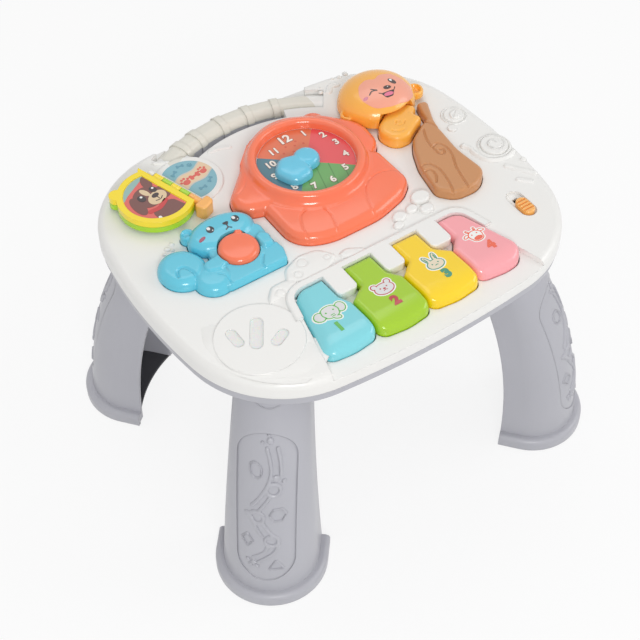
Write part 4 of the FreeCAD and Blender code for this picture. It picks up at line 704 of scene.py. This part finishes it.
monkey_print("face", face_patch, 0.14, FACE_PEACH, 0.8)
monkey_print("features", both(wink, mouth, monkey_nose, open_eye), 0.26, DARK_BROWN)
monkey_print("tongue", oval((114.2, 77.7), (4.8, 1.9), -4), 0.32, TONGUE)
monkey_print("glint", both(oval((125.8, 91.4), (1.2, 1.6)), spot((118.0, 85.2), 0.5)), 0.36, FACE_WHITE, 0.35)
monkey_print("cheek", oval((93.8, 84.6), (2.4, 1.7)), 0.26, LILAC)

# Piano keys
KEY_BACK, KEY_SHOULDER, KEY_WIDE = -57.0, -81.0, -92.0
KEY_FRONT = (-129.5, -132.2, -131.2, -128.5)
KEY_EDGES = (-45.2, 5.6, 56.6)
KEY_TOP_Z, KEY_TOP_Y, KEY_SLOPE_DEG = 253.0, -118, 4.0
KEY_ROLL_Y, KEY_ROLL = -112, 6.0
KEY_EDGE_R, KEY_WALL, KEY_LOW_Z = 4.6, 2.2, 240.2
KEY_TABS = ((-49.8, -30.4), (-1.6, 17.8), (45.4, 65.8))
KEYS = (("cyan", CYAN), ("green", GREEN), ("yellow", YELLOW), ("pink", PINK))


def key_corners(i):
    """Corners of one key from above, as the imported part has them."""
    front = KEY_FRONT[i]
    if i == 0:
        left_x = -96.0
        left = [(-80.0, KEY_BACK, 13), (left_x, front, 9)]
    else:
        neck = KEY_TABS[i - 1][1] + 0.8
        left_x = KEY_EDGES[i - 1] + 0.4
        left = [(neck, KEY_BACK, 2), (neck, KEY_SHOULDER, 5), (left_x, KEY_WIDE, 4), (left_x, front, 9)]
    if i == 3:
        right_x = 108.0
        right = [(right_x, front, 15), (88.5, KEY_BACK, 13)]
    else:
        neck = KEY_TABS[i][0] - 0.8
        right_x = KEY_EDGES[i] - 0.4
        right = [(right_x, front, 9), (right_x, KEY_WIDE, 4), (neck, KEY_SHOULDER, 5), (neck, KEY_BACK, 2)]
    nose = ((left_x + right_x) / 2, front - 3, (right_x - left_x) * 0.9)
    return left + [nose] + right


def key_surface(i, shape):
    """Height of a key's top, which rises towards the child and rolls over at its front edge."""
    front = KEY_FRONT[i] - 1.5

    def height(x, y):
        ahead = np.clip((KEY_ROLL_Y - y) / (KEY_ROLL_Y - front), 0, 1.2)
        slope = KEY_TOP_Z + (KEY_TOP_Y - y) * math.tan(math.radians(KEY_SLOPE_DEG))
        near = np.clip(-shape(x, y), 0, KEY_EDGE_R)
        z = slope - KEY_EDGE_R + np.sqrt(np.maximum(KEY_EDGE_R ** 2 - (KEY_EDGE_R - near) ** 2, 0))
        if i == 0:
            beside = x + 80.0 + 16.0 * (KEY_BACK - y) / 72.5
            z = z - 4.5 * np.clip((12 - beside) / 12, 0, 1) ** 1.5
        return z - KEY_ROLL * ahead ** 2.3
    return height


key_tops = []
for i, (colour, material) in enumerate(KEYS):
    shape = area(key_corners(i))
    surface = key_surface(i, shape)
    key_tops.append(surface)

    def key_under(x, y, z, shape=shape):
        return np.where(-shape(x, y) > KEY_WALL, z - KEY_WALL, KEY_LOW_Z)
    xs = [c[0] for c in key_corners(i)]
    relief("key_top_" + colour, shape, surface, (min(xs) - 2, max(xs) + 2, -138, -54), 0.8, 0, material,
           "key_" + colour, under=key_under, slot=colour + "_plastic", replaced=("key_" + colour,))


def moved(shape, at, turn=0.0):
    """A flat shape drawn round (0, 0) and put at a place."""
    c, s = math.cos(math.radians(turn)), math.sin(math.radians(turn))
    return lambda x, y: shape((x - at[0]) * c + (y - at[1]) * s, (y - at[1]) * c - (x - at[0]) * s)


PALE_STICKER = ink("sticker_pale", (226, 226, 226))
WHITE_STICKER = ink("sticker_white", (248, 248, 244))
SAND_STICKER = ink("sticker_sand", (236, 222, 196))
elephant_head = oval((0, 0), (9, 7.4))
elephant = both(elephant_head, oval((-10.2, 0.2), (4.6, 5.8), 12), oval((10.2, 0.2), (4.6, 5.8), -12),
                stroke([(0, -3), (0.6, -7), (3, -8.6)], 4.4))
elephant_dots = both(spot((-3.6, 0.8), 0.8), spot((3.6, 0.8), 0.8),
                     stroke([(-1.6, -3.4), (1.6, -3.4)], 0.7, False),
                     stroke([(-1.4, -5.2), (1.6, -5.2)], 0.7, False),
                     stroke([(-6.2, 4.6), (-7.6, 0), (-6.2, -4)], 0.9),
                     stroke([(6.2, 4.6), (7.6, 0), (6.2, -4)], 0.9))
bear_mark = both(oval((0, -0.8), (9.2, 6.6)), spot((-6.6, 4.8), 3.1), spot((6.6, 4.8), 3.1))
bear_dots = both(spot((-3.2, 0.6), 0.7), spot((3.2, 0.6), 0.7), oval((0, -0.8), (1.3, 0.9)),
                 stroke([(-1.7, -2.9), (0, -2.3), (1.7, -2.9)], 0.7))
rabbit = both(oval((0, -3), (8.2, 6.0)), oval((-3.8, 4.6), (2.4, 5.6), 16),
              oval((3.8, 4.6), (2.4, 5.6), -16))
rabbit_dots = both(spot((-3, -2), 0.7), spot((3, -2), 0.7),
                   stroke([(-1.3, -4.4), (0, -3.8), (1.3, -4.4)], 0.7),
                   stroke([(-4.2, 2.8), (-4.8, 6.8)], 1.0, False),
                   stroke([(4.2, 2.8), (4.8, 6.8)], 1.0, False))
cow = both(oval((0, 0.2), (6.6, 6.0)), oval((0, -3.6), (5.6, 3.8)), oval((-7.8, 2.8), (3.0, 1.9), 20),
           oval((7.8, 2.8), (3.0, 1.9), -20), stroke([(-3.4, 6), (-4, 8)], 2.2),
           stroke([(3.4, 6), (4, 8)], 2.2))
cow_dots = both(spot((-2.6, 1.8), 0.7), spot((2.6, 1.8), 0.7), oval((0, -3.8), (4.1, 2.4)))
MARKS = (
    ("elephant", 0, (-67.5, -93), elephant, elephant_dots, (98, 186, 84), (-70.5, -110.6), "1", PALE_STICKER),
    ("bear", 1, (-17, -96), bear_mark, bear_dots, (190, 62, 66), (-17.4, -112.8), "2", PALE_STICKER),
    ("rabbit", 2, (33.6, -95.6), rabbit, rabbit_dots, (64, 150, 120), (34.6, -112.2), "3", SAND_STICKER),
    ("cow", 3, (81.5, -90.5), cow, cow_dots, (242, 104, 74), (84.5, -107.0), "4", WHITE_STICKER),
)
MARK_TURN_DEG, KEY_DIGIT_SIZE = 3.0, 13.0
for label, i, at, shape, marks, rgb, digit_at, digit, fill in MARKS:
    rider, holder = "key_" + KEYS[i][0], KEYS[i][0] + "_plastic"
    line = ink(label + "_line", rgb)
    turned = moved(shape, at, MARK_TURN_DEG)
    layers = (("back", grow(turned, 1.1), 0.10, WHITE_STICKER, 0.5), ("edge", turned, 0.18, line, 0.45),
              ("fill", grow(turned, -0.9), 0.26, fill, 0.4),
              ("marks", moved(marks, at, MARK_TURN_DEG), 0.34, line, 0.3))
    for layer, flat_shape, lift, material, step in layers:
        print_on(label + "_" + layer, flat_shape, key_tops[i], lift, box_round(at, 18, 16), material, rider,
                 holder, step)
    numeral(digit, digit_at, KEY_DIGIT_SIZE, 0.16, line, rider, holder, label + "_number", 0.075, 0.14,
            key_tops[i])

# Book
HINGE_AT, BOOK_DEG = (-99.0, 99.0), 17.8


def on_book(shape):
    """A flat shape drawn across and along the book's hinge."""
    return moved(shape, HINGE_AT, BOOK_DEG)


def beyond(edge, side):
    """Everything to one side of a line along the hinge: -1 is the left and 1 is the right."""
    return lambda x, y: side * (edge - x)


book_box = (-160, -50, 60, 140)
PICTURE_Z = 255.0 + 5.6 - 0.8
picture = within(spot((-20.5, 0), 27.5), beyond(-10.6, -1))
PIC_RED = ink("picture_red", (226, 104, 96))
PIC_SKY = ink("picture_sky", (150, 186, 180))
PIC_BROWN = ink("picture_brown", (122, 74, 68))
PIC_CREAM = ink("picture_cream", (228, 202, 164))
PIC_DARK = ink("picture_dark", (58, 44, 48))
PIC_COLLAR = ink("picture_collar", (206, 62, 62))


def page_print(name, shape, lift, material, step=0.5):
    print_on(name, on_book(within(picture, shape)), level(PICTURE_Z), lift, book_box, material, "leaf_yellow",
             "bright_yellow_plastic", step)


page_print("picture_red", picture, 0.12, PIC_RED, 0.8)
page_print("picture_sky", area([(-60, 8, 1), (-36, 18, 3), (-10, 24, 1), (0, 60, 1), (-60, 60, 1)]), 0.2,
           PIC_SKY)
puppy_head = both(oval((-26, 4), (13.5, 12.5), 10), oval((-15, -1), (9, 8), 0))
page_print("puppy_ear_far", oval((-14, 17), (4.5, 8.5), -24), 0.26, PIC_BROWN)
page_print("puppy_head", puppy_head, 0.3, PIC_BROWN)
page_print("puppy_ear", oval((-39.5, 2), (5.2, 12), -14), 0.36, PIC_BROWN)
page_print("puppy_body", area([(-40, -30, 2), (-38, -12, 6), (-22, -9, 6), (-14, -14, 5), (-12, -30, 2)]),
           0.26, PIC_BROWN)
page_print("puppy_collar", stroke([(-38, -10), (-29, -12.5), (-19, -10)], 4.2), 0.4, PIC_COLLAR)
page_print("puppy_muzzle", both(oval((-21, -2.5), (9.5, 7), 10), oval((-24, 9.5), (2.6, 5.5), 6)), 0.4,
           PIC_CREAM)
page_print("puppy_nose", both(oval((-20.5, 0.5), (3.6, 2.4)),
                              stroke([(-20.5, -1), (-20.8, -4.6)], 0.8, False),
                              stroke([(-25, -4.4), (-20.8, -6), (-17, -4.4)], 0.8)), 0.48, PIC_DARK)
page_print("puppy_eyes", both(oval((-31, 6.4), (3.4, 4.2)), oval((-16.5, 7), (3, 3.8))), 0.48, PIC_DARK)
page_print("puppy_glints", both(spot((-30, 8), 1.2), spot((-15.6, 8.4), 1.1)), 0.54, WHITE_STICKER, 0.35)
page_print("puppy_bone", both(stroke([(-44, -20), (-38, -22)], 2.0, False), spot((-44.6, -18.8), 1.5),
                              spot((-45, -21.2), 1.5), spot((-37.4, -20.6), 1.5), spot((-37.2, -23.2), 1.5)),
           0.34, WHITE_STICKER, 0.35)

STICKER_Z = TRAY_Z + 1.4
sticker = within(spot((20.5, 0), 24.6), beyond(11.0, 1))
ST_SAND = ink("base_sand", (234, 206, 172))
ST_BLUE = ink("base_blue", (132, 186, 200))
ST_RED = ink("base_red", (224, 100, 88))
ST_GREY = ink("base_grey", (206, 204, 198))


def base_print(name, shape, lift, material, step=0.5):
    print_on(name, on_book(within(sticker, shape)), level(STICKER_Z), lift, book_box, material, "table",
             "white_plastic", step)


def waves(x, y):
    return np.abs(y - 1.5 * np.sin((x - 12) / 4.2)) - 8.2


def paw(at, size):
    return both(oval((at[0], at[1] - 0.2 * size), (0.42 * size, 0.34 * size)),
                *[spot((at[0] + dx * size, at[1] + dy * size), 0.15 * size)
                  for dx, dy in ((-0.45, 0.12), (-0.17, 0.4), (0.17, 0.4), (0.45, 0.12))])


base_print("base_blue", sticker, 0.12, ST_BLUE, 0.8)
base_print("base_sand", waves, 0.2, ST_SAND)
base_print("base_wave", lambda x, y: np.abs(waves(x, y) + 0.6) - 0.6, 0.28, ST_GREY)


def bone(at, length, thick, turn=0.0):
    ends = [spot((side * length / 2, lift), thick * 0.75)
            for side in (-1, 1) for lift in (-thick / 2, thick / 2)]
    return moved(both(stroke([(-length / 2, 0), (length / 2, 0)], thick, False), *ends), at, turn)


base_print("base_marks", both(paw((17.0, 0.6), 8.6), bone((27.4, -0.6), 7.0, 2.4, -8),
                              paw((37.0, -0.8), 8.0)), 0.3, ST_RED, 0.35)
base_print("base_bones", both(bone((18, 15), 5.4, 1.6, 20), bone((28.5, 17.5), 5.0, 1.5, -25),
                              paw((35, 12), 4.4), bone((21, -16), 5.2, 1.6, -15),
                              bone((32.5, -14), 5.0, 1.5, 30)), 0.3,
           ink("base_deep", (100, 158, 178)), 0.35)

# White reliefs of the tray
def soft_step(share):
    return share ** 2 * (3 - 2 * share)


def tray_relief(name, shape, height, bounds, step=0.8):
    relief(name, shape, height, bounds, step, TRAY_Z - 0.5, WHITE, "table", slot="white_plastic")


def low_plate(shape, rise, edge, crown=0.0, reach=8.0):
    """A low raised form whose edge fades into the tray."""
    def height(x, y):
        depth = np.maximum(-shape(x, y), 0)
        share = np.clip(depth / edge, 0, 1)
        return TRAY_Z + rise * soft_step(share) - 0.02 + crown * (1 - np.exp(-depth / reach))
    return height


def raised(name, shape, rise, edge, bounds, crown=0.0, lines=(), step=0.8):
    def height(x, y):
        z = low_plate(shape, rise, edge, crown)(x, y)
        for line in lines:
            z = z - dent(line, 0.8, 0.8)(x, y)
        return np.maximum(z, TRAY_Z - 0.1)
    tray_relief(name, shape, height, bounds, step)


caps = both(area([(-101, -60, 3), (-99, -50, 8), (-90, -40, 9), (-76, -40, 8), (-66, -47, 3),
                  (-80, -58, 8)]),
            area([(-77, -43, 3), (-70, -30, 12), (-52, -23, 16), (-34, -26, 12), (-24, -40, 4),
                  (-40, -52, 12), (-62, -53, 12)]),
            area([(-27, -41, 4), (-14, -38, 8), (-2, -45, 6), (2, -53, 3), (-16, -54, 8)]))
cap_rings = [ring_of(spot((-86.9, -50.4), 4.0), 1.5), ring_of(spot((-53.8, -32.3), 4.5), 1.5),
             ring_of(spot((-63.7, -41.5), 3.5), 1.5), ring_of(spot((-33, -38), 3.0), 1.5)]
key_zone = grow(area([(-104, -56, 10), (112, -56, 10), (112, -140, 10), (-104, -140, 10)]), 1.0)
clear_caps = without(caps, key_zone, grow(bear_shape, 0.8), grow(both(log, lobe, tail), 0.8))
raised("tray_caps", clear_caps, 1.5, 2.4, (-104, 6, -62, -18), 0.5, cap_rings)

# The tray swells up round the lamp dome and fades out towards its own corner
DOME = (-127.0, -82.0)
SWELL_OUT, SWELL_IN, SWELL_RISE = 57.0, 36.4, 1.55
CORNER, CORNER_R, CORNER_FADE = (-84.7, -58.7), 88.0, 14


def outward(x, y):
    """How far a point lies towards the tray's corner from just inside the dome's centre."""
    return -(x - DOME[0]) * 0.74 - (y - DOME[1]) * 0.67 + 12


def swell_height(x, y):
    near_dome = np.clip(-spot(DOME, SWELL_OUT)(x, y) / (SWELL_OUT - SWELL_IN), 0, 1)
    side = np.clip(outward(x, y) / 26, 0, 1)
    inland = np.clip(-spot(CORNER, CORNER_R)(x, y) / CORNER_FADE, 0, 1)
    swell = SWELL_RISE * soft_step(near_dome) * side - 0.15 - SWELL_RISE * (1 - soft_step(inland))
    return np.maximum(TRAY_Z - 0.15 + swell, TRAY_Z - 0.3)


swell_zone = within(spot(DOME, SWELL_OUT), spot(CORNER, CORNER_R), lambda x, y: -outward(x, y),
                    lambda x, y: -spot(DOME, SWELL_IN)(x, y))
tray_relief("tray_dome_side", swell_zone, swell_height, (-176, -70, -140, -30), 1.0)

snail = both(stroke([(145.5, 5.0), (148, 0), (147.6, -8), (151, -19), (159, -25), (169, -26.5),
                     (177, -24)], 6.0),
             spot((145.0, 6.0), 3.6))
raised("tray_snail", snail, 2.2, 2.4, (138, 186, -34, 12), 0.2, step=0.6)
SNAIL_AT = (168, -8.5)
raised("tray_shell", without(spot(SNAIL_AT, 15.6), spot(SNAIL_AT, 12.7)), 1.3, 1.2, (150, 186, -26, 10),
       step=0.6)
shell_turn = stroke([(SNAIL_AT[0] + (2 + 0.75 * k) * math.cos(0.6 * k),
                      SNAIL_AT[1] + (2 + 0.75 * k) * math.sin(0.6 * k)) for k in range(14)], 1.4)
tray_relief("tray_shell_coil", shell_turn,
            lambda x, y: np.where(spot(SNAIL_AT, 6.3)(x, y) < 0, 3.9, 2.9) + TRAY_Z, (152, 184, -24, 8), 0.5)
leaf_shape = area([(157, 38, 3), (160, 48, 5), (170, 49, 2), (168, 38, 5)])
tray_relief("tray_leaf", leaf_shape, lambda x, y: TRAY_Z + plate(leaf_shape, 2.9, 1.2)(x, y)
            - dent(stroke([(158, 39), (169, 48)], 1.0, False), 0.7, 0.5)(x, y), (154, 172, 34, 52), 0.5)
raised("tray_leaf_ring", without(spot((163.5, 44), 12.4), spot((163.5, 44), 10.2)), 1.0, 1.0,
       (148, 178, 30, 58), step=0.6)
PILLS = (((160, -35.5), (175, -56.5), 5.4), ((157.7, -54.5), (166, -62.7), 5.0))
for number, (start, end, width) in enumerate(PILLS):
    shape = stroke([start, end], width, False)
    raised("tray_pill_%d" % number, shape, 1.4, 1.2, (148, 184, -70, -28), 0.2, step=0.5)
raised("tray_dot", spot((178, -36.8), 3.0), 1.3, 1.2, (172, 184, -42, -32), 0.2, step=0.5)
SPRIGS = (
    ("back_leaf", [(89, 136), (95, 141), (101, 140)], 7.0, (80, 108, 128, 148)),
    ("left_leaf", [(-93, 141.5), (-88, 139), (-83, 136)], 5.0, (-100, -76, 130, 146)),
    ("slot_leaf", [(-45, 127), (-36, 126.5), (-27, 123)], 5.0, (-54, -18, 116, 134)),
)
for label, line, width, bounds in SPRIGS:
    raised("tray_" + label, stroke(line, width), 1.3, 1.6, bounds, 0.2, (stroke(line, 0.9),), 0.6)
KNOTS = ((82.5, 139.3, 2.4), (85.5, 144.4, 1.6), (108.8, 147.7, 2.6), (102.3, 149.5, 1.8), (116.5, 149, 2.8),
         (-137, 44, 3.0), (-142, 40, 2.2), (-131, 47, 2.4), (-134, 40.5, 2.0))
raised("tray_knots", both(*[spot((x, y), r) for x, y, r in KNOTS]), 1.2, 1.2, (-152, 124, 30, 156), 0.2,
       step=0.9)

# Raised pattern in the sunk panel of each leg
PANEL_LINES = (
    ([(0.4, 167.5), (3.5, 155.6), (4.2, 145.3), (1.6, 135), (-4.7, 123), (-11.6, 113)], 3.4),
    ([(9.2, 167.5), (11.7, 155.6), (12.4, 143.8)], 3.4),
    ([(4.2, 125), (-0.5, 117), (-5, 110)], 3.4),
    ([(-11, 101), (-8, 92), (-3, 83)], 3.4),
    ([(-2, 97), (2, 90), (7, 83)], 3.4),
    ([(2.9, 73), (-0.9, 64), (-9.7, 56)], 3.4),
    ([(11.7, 73), (6.7, 63), (-4.2, 53)], 3.4),
)
PANEL_RINGS = ((6.7, 130.6, 5.6), (-7.2, 102.5, 5.8), (5.5, 77.5, 5.6))
PANEL_BUMPS = ((8.6, 141.6, 2.9), (14.9, 138, 2.1), (-15.4, 104, 2.6), (2.9, 174, 3.0), (-10.4, 49.4, 2.4),
               (-10.4, 54.6, 2.2), (-15.2, 50.8, 2.2), (-13.2, 45.2, 2.2), (-7.4, 45.2, 2.2),
               (-5.6, 50.8, 2.2), (-3.5, 172, 1.6), (1.5, 178.5, 1.5))
hexagon = area([(10.5 + 7 * math.cos(math.radians(60 * k)), 105.5 + 7 * math.sin(math.radians(60 * k)), 0.8)
                for k in range(6)])
rhombus = area([(-15.4, 67.5, 0.8), (-20.4, 75, 0.8), (-15.4, 82.5, 0.8), (-10.4, 75, 0.8)])
triangle = area([(2.5, 42.5, 1), (9.2, 54.5, 1), (15.9, 42.5, 1)])
panel_shape = both(*[stroke(line, width) for line, width in PANEL_LINES],
                   *[ring_of(spot((s, z), r), 3.4) for s, z, r in PANEL_RINGS],
                   *[spot((s, z), r) for s, z, r in PANEL_BUMPS],
                   ring_of(oval((-8.5, 147.5), (5.0, 6.8), 15), 1.9), ring_of(hexagon, 1.8),
                   ring_of(rhombus, 1.8), ring_of(triangle, 1.8))


# The legs' outer faces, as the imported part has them
FOOT_X, FOOT_Y, LEG_TURN_DEG = 147.7, 120.8, 50
LEG_LOW_Z, LEG_RISE = 13.0, 207.0
LEG_R, LEG_TAPER = 42.5, 12.5
LEG_LEAN, LEG_BEND = 54.0, 2.2


def leg_xyz(s, z, out, foot, angle):
    """A point on a leg's outer face: s across, z up, out above its plain surface."""
    share = np.clip((z - LEG_LOW_Z) / LEG_RISE, 0, 1)
    half = LEG_R - LEG_TAPER * share + out
    around = np.arcsin(np.clip(s / half, -1, 1))
    u = -LEG_LEAN * share ** LEG_BEND + half * np.cos(around)
    v = half * np.sin(around)
    c, q = math.cos(angle), math.sin(angle)
    return np.stack([foot[0] + u * c - v * q, foot[1] + u * q + v * c, z], 1)


def leg_relief(name, shape, bounds, step, bottom, top, edge, foot, angle):
    ps, pz, quads, border = patch(shape, bounds, step)
    near = np.clip(-shape(ps, pz) / edge, 0, 1)
    upper = leg_xyz(ps, pz, bottom + 0.3 + (top - bottom - 0.3) * np.sqrt(1 - (1 - near) ** 2), foot, angle)
    lower = leg_xyz(ps, pz, np.full(len(ps), bottom - 0.3), foot, angle)
    closed_body(name, upper, lower, quads, border, GREY, "table", slot="grey_plastic")


crescent = stroke([(-17, 206), (-9, 201.5), (0, 199.6), (9, 201.5), (17, 206)], 1.0)
for sy, depth in ((-1, "front"), (1, "back")):
    for sx, side in ((-1, "left"), (1, "right")):
        corner = depth + "_" + side
        foot = (sx * FOOT_X, sy * FOOT_Y)
        turn = math.radians(LEG_TURN_DEG)
        angle = math.atan2(sy * math.sin(turn), sx * math.cos(turn))
        leg_relief("leg_pattern_" + corner, panel_shape, (-22, 22, 34, 182), 0.8, -1.0, 0.7, 1.4, foot, angle)
        leg_relief("leg_crescent_" + corner, crescent, (-20, 20, 196, 209), 0.7, 0.0, 0.35, 0.4, foot, angle)


# Carried-over solids
FINISHES = (
    (SHELL, "top_shell"), (BRASS, "battery_contacts"), (SLEEVE, "batteries"), (SILICONE, "key_pads"),
    (STEEL, "battery_door_screw shell_screws key_rod clock_spindle clock_washer nut_spring monkey_spring"),
    (STEEL, "page_rod"),
    (BLACK, "speaker switch_body"), (BOARD, "circuit_board key_board light_board"), (ORANGE, "monkey_head"),
    (FROST, "clock_dial light_windows"), (LIME, "page_green"), (PAGE, "page_yellow"),
    (AMBER, "hinge_cap switch_slider"),
    (GREY, "bottom_shell battery_door leg_front_left leg_front_right leg_back_left leg_back_right"),
    (RUBBER, "sole_pad_front_left sole_pad_front_right sole_pad_back_left sole_pad_back_right"),
)
for material, names in FINISHES:
    for node in names.split():
        mesh = nodes[node].data
        mesh.materials.clear()
        mesh.materials.append(material)

# Camera
AZ, EL = math.radians(-34.36), math.radians(48.48)
TARGET = Vector((0.0, 7.16, 138.26))
DISTANCE, SHIFT_X, SHIFT_Y, FOCAL_PX, FRAME_PX, SENSOR = 1308.56, 7.16, 21.75, 1442.13, 640, 36.0
back = Vector((math.sin(AZ) * math.cos(EL), -math.cos(AZ) * math.cos(EL), math.sin(EL)))
right = Vector((math.cos(AZ), math.sin(AZ), 0.0))
up = back.cross(right)
camera = new_object("camera", bpy.data.cameras.new("camera"))
camera.data.sensor_width = SENSOR
camera.data.lens = FOCAL_PX / FRAME_PX * SENSOR
camera.data.clip_end = 20.0
camera.location = (TARGET + back * DISTANCE - right * SHIFT_X - up * SHIFT_Y) * MM
camera.rotation_euler = (-back).to_track_quat("-Z", "Y").to_euler()
bpy.context.scene.camera = camera


# Floor, light and view
def floor_material():
    """Pale floor that the camera sees nearly white, with the soft shadow kept."""
    material = bpy.data.materials.new("floor")
    material.use_nodes = True
    tree = material.node_tree
    tree.nodes.clear()
    out = add_node(tree, "OutputMaterial")
    mix = add_node(tree, "MixShader", Fac=0.84)
    diffuse = add_node(tree, "BsdfDiffuse", Color=(0.9, 0.9, 0.9, 1))
    glow = add_node(tree, "Emission", Strength=1.0)
    plain = add_node(tree, "BsdfDiffuse", Color=(0.8, 0.8, 0.8, 1))
    rays = add_node(tree, "LightPath")
    sees = math_node(tree, "MAXIMUM", rays.outputs["Is Camera Ray"], rays.outputs["Is Glossy Ray"])
    pick = add_node(tree, "MixShader")
    wire(tree, (diffuse, "BSDF", mix, 1), (glow, "Emission", mix, 2), (sees, "Value", pick, "Fac"),
         (plain, "BSDF", pick, 1), (mix, "Shader", pick, 2), (pick, "Shader", out, "Surface"))
    return material


floor_mesh = bpy.data.meshes.new("floor")
REACH = 6.0
floor_mesh.from_pydata([(-REACH, -REACH, 0), (REACH, -REACH, 0), (REACH, REACH, 0), (-REACH, REACH, 0)], [],
                       [(0, 1, 2, 3)])
floor_mesh.materials.append(floor_material())
floor = new_object("floor", floor_mesh)

world = bpy.data.worlds.new("studio")
bpy.context.scene.world = world
world.use_nodes = True
sky = world.node_tree
sky.nodes.clear()
sky_out = add_node(sky, "OutputWorld")
seen = add_node(sky, "Background", Color=(1, 1, 1, 1), Strength=1.0)
ambient = add_node(sky, "Background", Color=(1, 1, 1, 1), Strength=0.55)
ray = add_node(sky, "LightPath")
direct = math_node(sky, "MAXIMUM", ray.outputs["Is Camera Ray"], ray.outputs["Is Glossy Ray"])
white_ray = math_node(sky, "MAXIMUM", direct.outputs["Value"], ray.outputs["Is Transmission Ray"])
choose = add_node(sky, "MixShader")
wire(sky, (white_ray, "Value", choose, "Fac"), (ambient, "Background", choose, 1),
     (seen, "Background", choose, 2), (choose, "Shader", sky_out, "Surface"))


def lamp(name, at, aim, size, watts):
    light = bpy.data.lights.new(name, "AREA")
    light.shape = "RECTANGLE"
    light.size, light.size_y = size
    light.energy = watts
    holder = new_object(name, light)
    holder.location = at
    holder.rotation_euler = (Vector(aim) - Vector(at)).to_track_quat("-Z", "Y").to_euler()


lamp("key_light", (-0.9, -1.7, 1.35), (0, 0, 0.18), (0.7, 0.5), 17.0)
lamp("fill_light", (1.6, -0.9, 1.2), (0, 0, 0.15), (1.2, 0.9), 8.0)
lamp("top_light", (0.2, 0.9, 2.2), (0, 0, 0.2), (1.6, 1.2), 7.0)
bpy.context.scene.view_settings.view_transform = "Standard"
